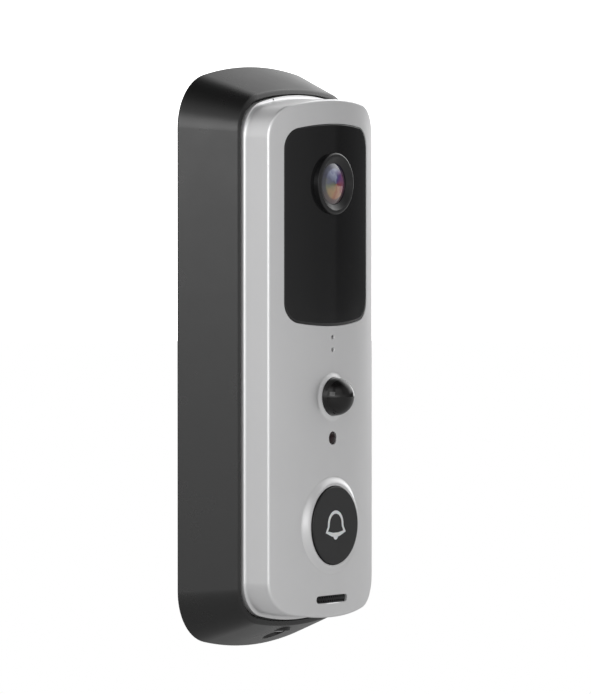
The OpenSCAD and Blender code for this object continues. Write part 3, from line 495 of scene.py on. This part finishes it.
def makeFinish(name, look):
    made = bpy.data.materials.new(name)
    made.use_nodes = True
    tree = made.node_tree
    place = addNode(tree, "ShaderNodeTexCoord").outputs["Object"]
    texture = addNode(tree, "ShaderNodeGroup", {"Vector": place, "Grain Scale": look.get("grain", 2000),
                                                "Cloud Scale": 70}, node_tree=grain)
    cloud, height = texture.outputs["Cloud"], texture.outputs["Height"]
    colour = mixColour(tree, cloud, look["base"], look["dark"])
    pattern = look.get("pattern")
    if pattern == "coating":
        # painted reflection takes the place of the lens glass's own colour
        colour = paintedReflectionColour(tree, place, look["base"])
    elif pattern:
        relief = patternOf(tree, pattern, place)
        shade = 1.7 if pattern == "traces" else 0.6
        colour = mixColour(tree, maths(tree, "MULTIPLY", relief, 0.4), colour, tuple(c * shade for c in look["base"]))
        height = maths(tree, "ADD", height, relief)
    for effect, group, tint in (("wear", wear, look.get("worn")), ("dust", dust, (0.35, 0.33, 0.30))):
        if effect in look:
            mask = addNode(tree, "ShaderNodeGroup", {"Vector": place, "Amount": look[effect]}, node_tree=group)
            colour = mixColour(tree, mask.outputs["Mask"], colour, tint)
    bump = addNode(tree, "ShaderNodeBump",
                   {"Strength": 0.6, "Distance": look.get("bump", 0.002) / 1000, "Height": height})
    feed(tree.nodes["Principled BSDF"], {
        "Base Color": colour, "Roughness": mapRange(tree, cloud, 0, 1, *look["gloss"]),
        "Normal": bump.outputs["Normal"], "Metallic": look.get("metal", 0),
        "Specular IOR Level": look.get("specular", 0.5), "Coat Weight": look.get("coat", 0), "Coat Roughness": 0.08,
        "Transmission Weight": look.get("transmission", 0), "Subsurface Weight": look.get("subsurface", 0),
        "Subsurface Scale": 0.0006})
    return made


finishes = {name: makeFinish(name, look) for name, look in finishSettings.items()}
for name, node in frame["nodes"].items():
    for slot in node.material_slots:
        slot.material = finishes[slotOf[name]]
print("materials made:", len(finishes))


# ---- front cover ----
cover = {"flangeSide": 0.6, "flangeEnd": 1.0, "arch": 91.0, "flangeArch": 78.0, "corner": 8.7, "wall": 2.0,
         "side": 1.6, "rim": 0.5, "flare": 1.0, "lip": 1.4, "postInset": 4.3, "postDrop": 7.5, "postPast": 0.5,
         "pinholeX": -10.7}
sensorLip = {"outer": 6.6, "inner": 5.08, "high": 0.32}
speaker = {"z": -62.7, "width": 13.9, "height": 1.9, "lip": 0.6, "mesh": 0.4}
screwPost = {"coverBore": 1.13, "bore": 0.83, "boardUpper": 26.0}


def blendIn(s):
    return 0.4 * s + 0.6 * s * s * (3 - 2 * s)


def faceRing(bm, outer, inner, station, rest, z, count=14):
    # a ring let into the curved face: station gives y at x and the share of the way from rim to bore
    marks = [(outer - (outer - inner) * k / count, k / count) for k in range(count + 1)]
    turned(bm, [rest[-1]] + [(radius, 100 + k) for k, (radius, _) in enumerate(marks)] + rest)
    for vert in bm.verts:
        if vert.co.y > 99:
            vert.co.y = station(vert.co.x, marks[round(vert.co.y - 100)][1])
    bmesh.ops.translate(bm, vec=(0, 0, z), verts=bm.verts)
    bmesh.ops.remove_doubles(bm, verts=bm.verts, dist=1e-4)


def makeSensorRim():
    # the face swells into a low lip round the motion sensor
    back = curve["crown"] + cover["wall"] - 0.1
    outer, inner, high = sensorLip.values()
    piece = asObject(solid(faceRing, outer, inner, lambda x, s: faceY(x) - high * s * s * (1.9 - 0.9 * s),
                           [(inner, back), (outer, back)], centreZ("pir_lens")), "sensorRim")
    settle(piece, "housing", "front_cover", 40)


def faceHoles():
    # height, radius and flare of the round holes down the middle of the face
    mic = box("microphone")
    return [(mic[1].z - 0.9, 0.55, 0.15), (mic[0].z + 0.9, 0.55, 0.15),
            (centreZ("pir_lens"), sensorLip["outer"] + 0.01, 0.0), (centreZ("light_guide"), 1.75, 0.06),
            (centreZ("button_ring"), box("button_ring")[1].x - 0.7 + 0.03, 0.0)]


def slotShape(by=0.0):
    half = speaker["height"] / 2 + by
    return (speaker["width"] / 2 + by, half, 5000, half - 0.01)


def makeCover():
    low, high = box("front_cover")
    shape = (high.x - cover["flangeSide"], high.z - cover["flangeEnd"], cover["arch"], cover["corner"])
    back = high.y - cover["postPast"]
    flangeY = back - cover["lip"]
    wallEnd = flangeY - cover["flare"]
    rings = roundedRings(shape, cover["rim"], faceY)
    rings += [(shape, lambda x: faceY(x) + cover["rim"] + 0.4), (shape, wallEnd - 0.4)]
    for sine, cosine in arc(8)[:-1]:  # the foot of the wall sweeps outwards
        out = 1 - cosine
        rings.append(((shape[0] + (cover["flangeSide"] - 0.3) * out, shape[1] + cover["flangeEnd"] * out,
                       shape[2] + (cover["flangeArch"] - shape[2]) * out, shape[3] + cover["flangeSide"] * out),
                      wallEnd + (cover["flare"] - 0.1) * sine))
    outer = (high.x - 0.3, high.z, cover["flangeArch"], cover["corner"] + cover["flangeSide"])
    rings += [(grown(outer, -0.12), flangeY - 0.1), (grown(outer, -0.03), flangeY - 0.06),
              (outer, flangeY + 0.04), (outer, back)]
    inner = grown(shape, -cover["side"])
    rings += [(inner, back), (inner, lambda x: faceY(x, cover["wall"]))]
    bm = bmesh.new()
    capEnds(bm, loft(bm, rings), True)
    piece = asObject(outwards(bm), "frontCover")

    postX, postZ = shape[0] - cover["side"] - cover["postInset"], shape[1] - cover["postDrop"]
    boardLow, boardHigh = box("board_screws")
    camLow, camHigh = box("camera_screws")
    frontBoard, holder = box("main_board")[0].y, box("lens_holder")[0].y
    housingPosts = [(sx * postX, sz * postZ) for sx, sz in corners]
    boardPosts = [(sx * (boardHigh.x - 1.5), z) for sx in sides
                  for z in (boardLow.z + 1.5, screwPost["boardUpper"])]
    camPosts = [(sx * (camHigh.x - 1.5), z) for sx in sides for z in (camLow.z + 1.5, camHigh.z - 1.5)]
    posts = [(3, high.y, x, z) for x, z in housingPosts] + [(2.4, frontBoard, x, z) for x, z in boardPosts]
    posts += [(2.0, holder, x, z) for x, z in camPosts]
    carve(piece, [solid(rod, r, faceY(x, 1.0), end, x, z, 32) for r, end, x, z in posts], "UNION")

    windowLow, windowHigh = box("window_panel")
    windowShape = (windowHigh.x + 0.1, (windowHigh.z - windowLow.z) / 2 + 0.1, cover["arch"], 5.6)
    front = low.y - 1
    tools = [solid(curvedPlate, windowShape, -1, 1.2, centreZ("window_panel")),
             solid(curvedPlate, grown(windowShape, -2.6), 0.6, 4, centreZ("window_panel"))]
    tools += [solid(turned, [(0, front), (radius + flare, front), (radius + flare, low.y - 0.02),
                             (radius, low.y + flare), (radius, low.y + 5.5), (0, low.y + 5.5)], 0, z, 64)
              for z, radius, flare in faceHoles()]
    tools.append(solid(prism, slotShape(), [(0.3, front), (0.3, low.y - 0.05), (0.08, low.y + 0.1),
                                            (0, low.y + 0.35), (0, low.y + 2)], 0, speaker["z"]))
    tools.append(solid(curvedPlate, slotShape(1), speaker["lip"], 3, speaker["z"]))
    tools += [solid(rod, screwPost["coverBore"], low.y + 5, back + 1.5, x, z, 24) for x, z in housingPosts]
    tools += [solid(rod, screwPost["bore"], low.y + 4.2, frontBoard + 1, x, z, 24) for x, z in boardPosts]
    tools += [solid(rod, screwPost["bore"], low.y + 3.9, holder + 1, x, z, 24) for x, z in camPosts]
    tools.append(solid(rod, 0.3, wallEnd, back + 1, cover["pinholeX"], shape[1] - 0.1, 20))
    carve(piece, tools)
    settle(piece, "housing", "front_cover", 28)


def makeSpeakerMesh():
    piece = asObject(solid(curvedPlate, slotShape(0.9), speaker["lip"], speaker["lip"] + speaker["mesh"],
                           speaker["z"]), "speakerMesh")
    crown = curve["crown"]
    carve(piece, [solid(rod, 0.26, crown - 1, crown + 3, column + row * 0.5, speaker["z"] + row, 10)
                  for row in (-0.5, 0.5) for column in range(-6, 7)])
    settle(piece, "housing", "speaker_mesh", 30)


makeCover()
makeSensorRim()
makeSpeakerMesh()
print("front cover")


# ---- camera window and lens ----
window = {"edge": 0.3, "corner": 5.5, "thick": 1.2}
lens = {"lip": 1.1, "throat": 5.5, "seat": 0.85, "barrel": 6.55, "stop": 5.4, "stopDeep": 1.4, "ball": 14.8}


def makeWindow():
    low, high = box("window_panel")
    shape = (high.x, (high.z - low.z) / 2, cover["arch"], window["corner"])
    piece = asObject(solid(curvedPlate, shape, 0, window["thick"], centreZ("window_panel"), window["edge"]),
                     "windowPanel")
    carve(piece, [solid(rod, box("lens_ring")[1].x + 0.05, low.y - 2, high.y + 2, 0, centreZ("lens_ring"), 96)])
    settle(piece, "housing", "window_panel", 30)


def makeLens():
    low, high = box("lens_ring")
    z, outer, front = centreZ("lens_ring"), high.x, low.y
    seat, stop, lip = front + lens["seat"], curve["crown"] + lens["stopDeep"], outer - lens["lip"]
    bm = solid(turned, [(outer, front + 0.2), (outer, high.y), (lens["barrel"], high.y), (lens["barrel"], stop),
                        (lens["stop"], stop), (lens["stop"], seat), (lens["throat"], seat), (lip - 0.2, front + 0.2),
                        (lip, front), (outer - 0.35, front), (outer, front + 0.2)], 0, z)
    sharp = [e for e in bm.edges if e.is_manifold and e.calc_face_angle(0) > math.radians(25)]
    bmesh.ops.bevel(bm, geom=sharp, offset=0.13, segments=3, profile=0.5, affect="EDGES", material=-1,
                    clamp_overlap=True)
    settle(asObject(bm, "lensRing"), "housing", "lens_ring", 35)

    glassLow, glassHigh = box("lens_glass")
    radius, ball, back = glassHigh.x, lens["ball"], glassHigh.y - 0.05
    dome = [(radius * k / 14, glassLow.y + ball - math.sqrt(ball ** 2 - (radius * k / 14) ** 2)) for k in range(15)]
    settle(asObject(solid(turned, dome + [(radius, back), (0, back)], 0, z), "lensGlass"),
           "housing", "lens_glass", 35)


makeWindow()
makeLens()
print("camera window and lens")


# ---- motion sensor dome and light sensor ----
dome = {"radius": 5.0, "thick": 0.7, "seat": 3.2}
lightWindow = {"radius": 1.7, "step": 2.5, "flange": 0.6}


def makeSensors():
    low, high = box("pir_lens")
    radius, thick, seat = dome["radius"], dome["thick"], curve["crown"] + dome["seat"]
    middle, hollow = low.y + radius, radius - thick
    outside = [(radius * sine, middle - radius * cosine) for sine, cosine in arc(24)]
    inside = [(hollow * sine, middle - hollow * cosine) for sine, cosine in arc(16)[::-1]]
    skirt = [(radius, seat - thick), (high.x, seat - thick), (high.x, seat), (hollow, seat)]
    settle(asObject(solid(turned, outside + skirt + inside, 0, centreZ("pir_lens")), "sensorDome"),
           "housing", "pir_lens", 40)

    low, high = box("light_guide")
    front, radius = low.y, lightWindow["radius"]
    step, shoulder = front + lightWindow["step"], front + lightWindow["step"] + lightWindow["flange"]
    settle(asObject(solid(turned, [(0, front), (radius * 0.5, front + 0.03), (radius * 0.85, front + 0.12),
                                   (radius, front + 0.3), (radius, step), (high.x, step), (high.x, shoulder),
                                   (radius, shoulder), (radius, high.y), (0, high.y)],
                          0, centreZ("light_guide"), 48), "lightGuide"),
           "housing", "light_guide", 40)


makeSensors()
print("sensors")


# ---- push button ----
button = {"radius": 10.15, "gap": 0.2, "ledge": 0.45, "edge": 0.22, "flange": 0.6, "iconDeep": 0.5, "iconUp": 0.3}
bell = {"radius": 3.1, "top": 0.1, "waist": -0.6, "foot": 4.0, "low": -1.9, "sag": 0.75, "line": 0.84,
        "clapper": 1.1}


def makeCollar():
    low, high = box("button_ring")
    ledge, inner, rim, back = low.y, button["radius"] + button["gap"], high.x - 0.7, high.y
    rest = [(inner + 0.18, ledge), (inner + 0.05, ledge + 0.05), (inner, ledge + 0.18), (inner, back),
            (high.x, back), (high.x, back - 0.7), (rim, back - 0.7)]
    settle(asObject(solid(faceRing, rim, inner + button["ledge"],
                          lambda x, s: faceY(x) * (1 - blendIn(s)) + ledge * blendIn(s), rest,
                          centreZ("button_ring")), "buttonRing"), "housing", "button_ring", 40)


def bellLine(grow):
    radius = bell["radius"] + grow
    return [(radius * sine, bell["top"] + radius * cosine) for sine, cosine in arc(14)] + [
        (radius + 0.04, bell["top"] - 0.35), (radius + 0.12, bell["waist"]),
        (bell["foot"] + 1.3 * grow, bell["low"] - 0.4 * grow),
        (1.4 + 0.6 * grow, bell["low"] - 1.2 * grow - bell["sag"]), (0, bell["low"] - 1.2 * grow - bell["sag"])]


def flatLoop(bm, points, y):
    # half an outline in X and Z, mirrored to a whole one
    old = set(bm.verts)
    bmesh.ops.mirror(bm, geom=polyline(bm, [(x, y, z) for x, z in points]), axis="X", merge_dist=1e-4)
    return list({e for v in bm.verts if v not in old for e in v.link_edges})


def raisedTo(bm, faces, deep, z):
    raised = bmesh.ops.extrude_face_region(bm, geom=faces)["geom"]
    bmesh.ops.translate(bm, vec=(0, deep, 0), verts=[g for g in raised if isinstance(g, bmesh.types.BMVert)])
    bmesh.ops.translate(bm, vec=(0, 0, z), verts=bm.verts)


def bellSolid(bm, near, far, z):
    # the bell's line as a frame between two outlines, with its foot closed across the middle
    loops = [flatLoop(bm, bellLine(grow), near) for grow in (bell["line"] / 2, -bell["line"] / 2)]
    bmesh.ops.bridge_loops(bm, edges=loops[0] + loops[1])
    raisedTo(bm, list(bm.faces), far - near, z)


def clapperSolid(bm, near, far, z):
    radius, top = bell["clapper"], bell["low"] - bell["sag"]
    rounded = [(radius * sine, bell["low"] - 1 - radius * cosine) for sine, cosine in arc(10)]
    edges = flatLoop(bm, rounded + [(radius, top), (0, top)], near)
    raisedTo(bm, bmesh.ops.edgeloop_fill(bm, edges=edges)["faces"], far - near, z)


def makeButton():
    low, high = box("button_cap")
    centre, front, back, flangeY = centreZ("button_cap"), low.y, high.y, high.y - button["flange"]
    radius, edge, deep = button["radius"], button["edge"], low.y + button["iconDeep"]
    profile = [(0, front), (radius - edge - 0.5, front)]
    profile += [(radius - edge * (1 - sine), front + edge * (1 - cosine)) for sine, cosine in arc(6)]
    profile += [(radius, flangeY), (high.x, flangeY), (high.x, back), (radius - 1.4, back), (radius - 1.4, front + 2),
                (2.6, front + 2), (2.6, flangeY + 0.1), (0, flangeY + 0.1)]
    cap = asObject(solid(turned, profile, 0, centre), "buttonCap")
    iconZ = centre + button["iconUp"]
    carve(cap, [solid(make, front - 1, deep, iconZ) for make in (bellSolid, clapperSolid)])
    settle(cap, "button", "button_cap", 35)
    icon = asObject(solid(bellSolid, front + 0.01, deep, iconZ), "bellIcon")
    carve(icon, [solid(clapperSolid, front + 0.01, deep, iconZ)], "UNION")
    settle(icon, "button", "bell_icon", 35)


makeCollar()
makeButton()
print("push button")


# ---- rear housing ----
housing = {"gap": 0.3, "lipSide": 0.75, "lipEnd": 1.35, "lipRise": 1.0, "arch": 106.0, "lipCorner": 9.8,
           "backCorner": 14.1, "lipDepth": 0.6, "edge": 0.4, "wall": 2.0, "rim": 1.5, "bayWall": 1.4,
           "bossReach": 9, "screwHead": 1.8}
hookAt = {"side": 3.4, "heights": (-45, 0, 45)}


def makeHousing():
    low, high = box("rear_housing")
    coverHigh = box("front_cover")[1]
    coverBack = coverHigh.y - cover["postPast"]
    lipY = coverBack - housing["lipRise"]
    inner = (coverHigh.x + housing["gap"], coverHigh.z + housing["gap"], housing["arch"],
             housing["lipCorner"] - housing["lipSide"])
    outer = (inner[0] + housing["lipSide"], inner[1] + housing["lipEnd"], housing["arch"], housing["lipCorner"])
    back = (high.x, high.z, housing["arch"], housing["backCorner"])
    start, edge = lipY + housing["lipDepth"], housing["edge"]

    def body(y):
        part = (y - start) / (high.y - start)
        return tuple(a + (b - a) * part for a, b in zip(outer, back))

    middle = tuple((a + b) / 2 for a, b in zip(inner, outer))
    rings = [(inner, lipY + 0.08), (grown(inner, 0.1), lipY), (middle, (lipY + start) / 2 - 0.06),
             (grown(outer, -0.14), start - 0.16), (grown(outer, -0.02), start - 0.02)]
    rings += [(body(y), y) for y in (start + 0.2, start + 0.6, start + 5, high.y - edge - 1.2)]
    for sine, cosine in arc(5):  # the back edge is rounded
        y = high.y - edge * (1 - sine)
        rings.append((grown(body(y), -edge * (1 - cosine)), y))
    floor = box("housing_screws")[1].y + 0.3
    recess = grown(body(floor), -housing["rim"])
    rings += [(grown(recess, 0.02), high.y), (recess, floor)]
    # front well, down to the shelf that the cover's seal sits on
    seat = (coverHigh.x + housing["gap"] - 0.01, coverHigh.z + housing["gap"] - 0.01, cover["flangeArch"] - 0.01,
            cover["corner"] + cover["flangeSide"] + housing["gap"] - 0.01)
    shelf = coverBack + 0.5
    bm = bmesh.new()
    loops = loft(bm, rings)
    well = loft(bm, [(inner, lipY + 0.08), (seat, lipY + 0.46), (seat, shelf)])
    capEnds(bm, (loops[-1], well[-1]))
    bmesh.ops.remove_doubles(bm, verts=bm.verts, dist=1e-3)
    piece = asObject(outwards(bm), "rearHousing")

    wallFront = floor - housing["wall"]
    throat = (coverHigh.x - cover["flangeSide"] - cover["side"], coverHigh.z - cover["flangeEnd"] - cover["side"],
              housing["arch"], cover["corner"])
    bm = bmesh.new()
    capEnds(bm, loft(bm, [(throat, shelf - 0.37), (throat, shelf + 1.5),
                          (grown(body(wallFront), -housing["wall"]), wallFront)]))
    carve(piece, [outwards(bm)])

    packLow, packHigh = box("battery_case")
    bayX, bayFront, bayWall = packHigh.x + 0.3, packLow.y - 1.6, housing["bayWall"]
    bayMid, bayTall = centreZ("battery_case"), packHigh.z - packLow.z + 0.6
    postX, postZ = box("housing_screws")[1].x - 2.1, box("housing_screws")[1].z - 2.1
    terminalX, terminalZ = box("terminal_screws")[1].x - 3, box("terminal_screws")[1].z - 3
    setupZ, powerBack, reach = centreZ("setup_button"), box("power_board")[1].y, housing["bossReach"]
    screw = box("security_screw")
    screwY, screwSeat = (screw[0].y + screw[1].y) / 2, screw[0].z + housing["screwHead"]
    ends = floor - 0.5
    adds = [solid(block, 2 * (bayX + bayWall), bayTall + 2 * bayWall, bayFront, ends, 0, bayMid)]
    adds += [solid(rod, 3, shelf + 0.05, ends, sx * postX, sz * postZ, 32) for sx, sz in corners]
    adds += [solid(rod, 2.2, powerBack, ends, sx * reach, setupZ, 32) for sx in sides]
    adds.append(upright([(0, screwSeat - 1.4), (4.6, screwSeat - 1.4), (4.6, screwSeat + 1.1), (0, screwSeat + 1.1)],
                        screwY, 48))
    carve(piece, adds, "UNION")

    past = floor + 1
    cuts = [solid(block, 2 * bayX, bayTall, bayFront + bayWall, past, 0, bayMid)]
    cuts += [solid(rod, 0.7, bayFront - 1, bayFront + bayWall + 1, x, centreZ("contact_pins"), 24)
             for x in (-6, -2, 2, 6)]
    cuts += [solid(turned, [(0, shelf - 1), (1.25, shelf - 1), (1.25, floor - 1.6), (2.4, floor - 1.6),
                            (2.4, floor - 0.2), (2.6, past), (0, past)], sx * postX, sz * postZ, 32)
             for sx, sz in corners]
    cuts += [solid(rod, 1.6, wallFront - 1, past, sx * terminalX, terminalZ, 32) for sx in sides]
    cuts += [solid(rod, screwPost["bore"], powerBack - 1, powerBack + 3, sx * reach, setupZ, 24) for sx in sides]
    cuts.append(solid(turned, [(0, wallFront - 1), (2.55, wallFront - 1), (2.55, floor - 0.2),
                               (2.75, floor + 0.6), (0, floor + 0.6)], 0, setupZ, 48))
    cuts += [solid(block, 3.6, 7.8, wallFront - 1, past, x, z - 3.8) for x, z in hookPlaces()]
    cuts.append(solid(block, 8.6, 6.0, wallFront - 1, past, 0, screw[1].z - 2.7))
    cuts.append(upright([(0, screwSeat - 8), (3.2, screwSeat - 8), (3, screwSeat - 5.2), (3, screwSeat),
                         (1.6, screwSeat), (1.6, screwSeat + 2), (0, screwSeat + 2)], screwY, 48))
    carve(piece, cuts)
    settle(piece, "housing", "rear_housing")
    return floor, body


def hookPlaces():
    reach = box("battery_case")[1].x + 0.3 + housing["bayWall"] + hookAt["side"]
    return [(sx * reach, z) for sx in sides for z in hookAt["heights"]]


recessFloor, housingAt = makeHousing()
print("rear housing")


# ---- wall plate ----
plate = {"gap": 0.3, "edge": 0.35, "holeX": 21.0, "holeZ": 56.0, "holeCorner": 4.0, "slotX": 17.0, "slotZ": 65.0,
         "slotLong": 4.2, "slotWide": 2.2, "sink": 1.6, "tabBore": 1.55}


def makePlate():
    deep = box("wall_plate")[0].y
    front, edge = recessFloor + 0.3, plate["edge"]
    shape = grown(housingAt(recessFloor), -housing["rim"] - plate["gap"])
    piece = asObject(solid(prism, shape, [(-edge, front), (-0.1, front + 0.1), (0, front + edge), (0, -edge),
                                          (-0.1, -0.1), (-edge, 0)]), "wallPlate")
    screw = box("security_screw")
    tabTop, screwY = screw[1].z, (screw[0].y + screw[1].y) / 2
    arm, past = recessFloor - housing["wall"] - 1.8, front + 0.1
    adds = [solid(block, 3, 5, arm, past, x, z - 2.5) for x, z in hookPlaces()]
    adds += [solid(block, 3, 2.5, arm, arm + 1.6, x, z + 1.15) for x, z in hookPlaces()]
    adds.append(solid(block, 8, 3, deep, past, 0, tabTop - 1.5))
    carve(piece, adds, "UNION")
    hole = (plate["holeX"], plate["holeZ"], 600, plate["holeCorner"])
    cuts = [solid(prism, hole, [(0.25, front - 1), (0.25, front), (0, front + 0.25), (0, -0.25), (0.25, 0),
                                (0.25, 1)])]
    wide = plate["slotWide"]
    slim = (plate["slotLong"], wide, 5000, wide - 0.01)
    sunk = (plate["slotLong"] + 2, wide + 2, 5000, wide + 1.99)
    for sx, sz in corners:
        at = (sx * plate["slotX"], sz * plate["slotZ"])
        cuts.append(solid(prism, slim, [(0, front - 1), (0, -0.2), (0.2, 0), (0.2, 1)], *at))
        cuts.append(solid(prism, sunk, [(0.15, front - 1), (0.15, front), (0, front + 0.15),
                                        (0, front + plate["sink"])], *at))
    bore = plate["tabBore"]
    cuts.append(upright([(0, tabTop - 5), (bore, tabTop - 5), (bore, tabTop + 1), (0, tabTop + 1)], screwY, 32))
    carve(piece, cuts)
    settle(piece, "housing", "wall_plate")


makePlate()
print("wall plate")


# ---- small parts at the back and below ----
lid = {"corner": 3, "gripUp": 9, "gripWide": 8, "gripTall": 2.5, "ribsUp": 15, "ribStep": 2.2}
setup = {"stem": 1, "shoulder": 3.1, "cap": 2.5, "dish": 0.22}
terminal = {"thread": 1.5, "head": 3, "headTall": 1.8, "slot": 0.8}
fastener = {"head": 2.7, "thread": 1.5, "root": 1.36, "pitch": 0.5, "key": 1.1}


def makeBattery():
    low, high = box("battery_lid")
    top = high.y
    piece = asObject(solid(prism, (high.x, (high.z - low.z) / 2, 600, lid["corner"]),
                           [(0, low.y), (0, top - 0.35), (-0.1, top - 0.1), (-0.35, top)],
                           0, centreZ("battery_lid")), "batteryLid")
    grip = (lid["gripWide"], lid["gripTall"], 5000, lid["gripTall"] - 0.01)
    cuts = [solid(prism, grip, [(-0.25, top - 0.7), (0, top - 0.3), (0.12, top), (0.12, top + 1)],
                  0, low.z + lid["gripUp"])]
    cuts += [solid(prism, (10 - k, 0.35, 5000, 0.34), [(0, top - 0.3), (0.1, top), (0.1, top + 1)],
                   0, low.z + lid["ribsUp"] + lid["ribStep"] * k) for k in range(5)]
    carve(piece, cuts)
    settle(piece, "pack", "battery_lid")


def makeSetupButton():
    low, high = box("setup_button")
    front, top, stem, cap = low.y, high.y, setup["stem"], setup["cap"]
    shoulder = recessFloor - housing["wall"] - 0.7
    profile = [(0, front), (stem - 0.1, front), (stem, front + 0.1), (stem, shoulder), (setup["shoulder"], shoulder),
               (setup["shoulder"], shoulder + 0.6), (cap, shoulder + 0.6), (cap, top - 0.25), (cap - 0.08, top - 0.07),
               (cap - 0.25, top), (cap - 0.6, top), (cap - 1.3, top - 0.16), (0, top - setup["dish"])]
    settle(asObject(solid(turned, profile, 0, centreZ("setup_button"), 48), "setupButton"),
           "setup", "setup_button", 40)


def makeTerminalScrews():
    low, high = box("terminal_screws")
    radius, thread, front, top = terminal["head"], terminal["thread"], low.y, high.y
    reach, z, head = high.x - radius, high.z - radius, top - terminal["headTall"]
    profile = [(0, front), (thread - 0.2, front), (thread, front + 0.2), (thread, head), (radius, head),
               (radius, top - 0.4), (radius - 0.1, top - 0.15), (radius - 0.4, top), (0, top)]
    bm = bmesh.new()
    for side in sides:
        turned(bm, profile, side * reach, z, 48)
    piece = asObject(outwards(bm), "terminalScrews")
    carve(piece, [solid(block, 7, terminal["slot"], top - 0.8, top + 1, side * reach, z) for side in sides])
    settle(piece, "housing", "terminal_screws", 35)


def makeSecurityScrew():
    low, high = box("security_screw")
    y, foot, tip, head = (low.y + high.y) / 2, low.z, high.z, low.z + housing["screwHead"]
    radius, thread, root, key = fastener["head"], fastener["thread"], fastener["root"], fastener["key"]
    profile = [(0, foot), (radius - 0.35, foot), (radius - 0.1, foot + 0.12), (radius, foot + 0.4), (radius, head),
               (thread, head)]
    for k in range(math.ceil((tip - 0.6 - head) / fastener["pitch"])):  # rounded thread ridges
        at = head + fastener["pitch"] * k
        profile += [(thread, at + 0.12), (root, at + 0.25), (root, at + 0.3), (thread, at + 0.43)]
    profile += [(thread, tip - 0.3), (thread - 0.3, tip), (0, tip)]
    piece = asObject(upright(profile, y, 40), "securityScrew")
    carve(piece, [upright([(0, foot - 1), (key, foot - 1), (key, foot + 1), (0, foot + 1)], y, 6)])
    settle(piece, "screw", "security_screw", 40)


makeBattery()
makeSetupButton()
makeTerminalScrews()
makeSecurityScrew()
print("small parts")


# ---- studio ----
# brightness of the walls round the object by angle from straight ahead, positive to its right
studio = {"floorDrop": 0.03, "world": 2.0, "floor": 0.15, "floorFront": 0.4,
          "walls": [(-180, 0.45), (-125, 0.34), (-95, 0.7), (-72, 1.05), (-50, 1.0), (-20, 0.42), (15, 0.25),
                    (26, 0.18), (45, 0.10), (56.5, 0.075), (58, 0.04), (84, 0.06), (96, 1.2), (112, 1.3),
                    (135, 0.5), (180, 0.45)],
          "uppers": [(-180, 0.25), (-125, 0.3), (-110, 0.6), (-80, 0.6), (-66, 0.2), (-58, 0.2), (-48, 0.45),
                     (-18, 0.35), (0, 0.15), (40, 0.2), (60, 0.8), (88, 1.35), (115, 0.4), (180, 0.25)],
          "raise": [(0, 0), (7, 0), (16, 1), (90, 1)],
          "zenith": [(0, 1), (42, 1), (66, 0.05), (90, 0.0)]}
softbox = {"way": (-0.90, -0.33, 0.30), "distance": 0.6, "width": 0.35, "height": 0.25, "power": 0.7}


def makeFloor():
    disc = bmesh.new()
    bmesh.ops.create_circle(disc, cap_ends=True, segments=96, radius=3)
    floor = asObject(disc, "floor")
    floor.data.transform(Matrix.Translation((0, 0, cadBox[0].z - studio["floorDrop"])))
    pale = bpy.data.materials.new("pale floor")
    pale.use_nodes = True
    tree = pale.node_tree
    # the floor in front throws more light up than the floor behind
    spot = addNode(tree, "ShaderNodeSeparateXYZ", {0: addNode(tree, "ShaderNodeTexCoord").outputs["Object"]})
    glow = mapRange(tree, spot.outputs["Y"], -0.15, 0.08, studio["floorFront"], studio["floor"])
    lit = feed(tree.nodes["Principled BSDF"], {"Base Color": opaque(0.25), "Roughness": 0.8,
                                               "Emission Color": opaque(1), "Emission Strength": glow})
    either = addNode(tree, "ShaderNodeMixShader",
                     {0: addNode(tree, "ShaderNodeLightPath").outputs["Is Camera Ray"], 1: lit.outputs[0],
                      2: addNode(tree, "ShaderNodeEmission").outputs[0]})
    feed(tree.nodes["Material Output"], {"Surface": either.outputs[0]})
    floor.data.materials.append(pale)


def makeSoftbox():
    data = bpy.data.lights.new("side", "AREA")
    data.shape, data.size, data.size_y = "RECTANGLE", softbox["width"], softbox["height"]
    data.energy = softbox["power"]
    light = bpy.data.objects.new("side", data)
    direction = Vector(softbox["way"]).normalized()
    light.location = direction * softbox["distance"]
    light.rotation_mode = "QUATERNION"
    light.rotation_quaternion = direction.to_track_quat("Z", "Y")
    scene.collection.objects.link(light)


def makeSurroundings():
    world = bpy.data.worlds.new("studio")
    world.use_nodes = True
    scene.world = world
    tree = world.node_tree
    split = addNode(tree, "ShaderNodeSeparateXYZ", {0: addNode(tree, "ShaderNodeTexCoord").outputs["Generated"]})
    x, y, z = split.outputs
    share = mapRange(tree, maths(tree, "ARCTAN2", x, maths(tree, "MULTIPLY", y, -1)), -math.pi, math.pi)
    walls, uppers = [colourRamp(tree, share, [((angle + 180) / 360, value) for angle, value in studio[band]])
                     for band in ("walls", "uppers")]
    raised, zenith = [colourRamp(tree, z, [(math.sin(math.radians(angle)), value) for angle, value in studio[band]])
                      for band in ("raise", "zenith")]
    around = mixColour(tree, raised, walls, uppers)
    faded = mixColour(tree, 1, around, zenith, blend_type="MULTIPLY")
    seen = addNode(tree, "ShaderNodeLightPath").outputs["Is Camera Ray"]
    feed(tree.nodes["Background"], {"Color": mixColour(tree, seen, faded, 1.0), "Strength": studio["world"]})
    scene.view_settings.view_transform = "Standard"


makeFloor()
makeSoftbox()
makeSurroundings()
print("studio lit")
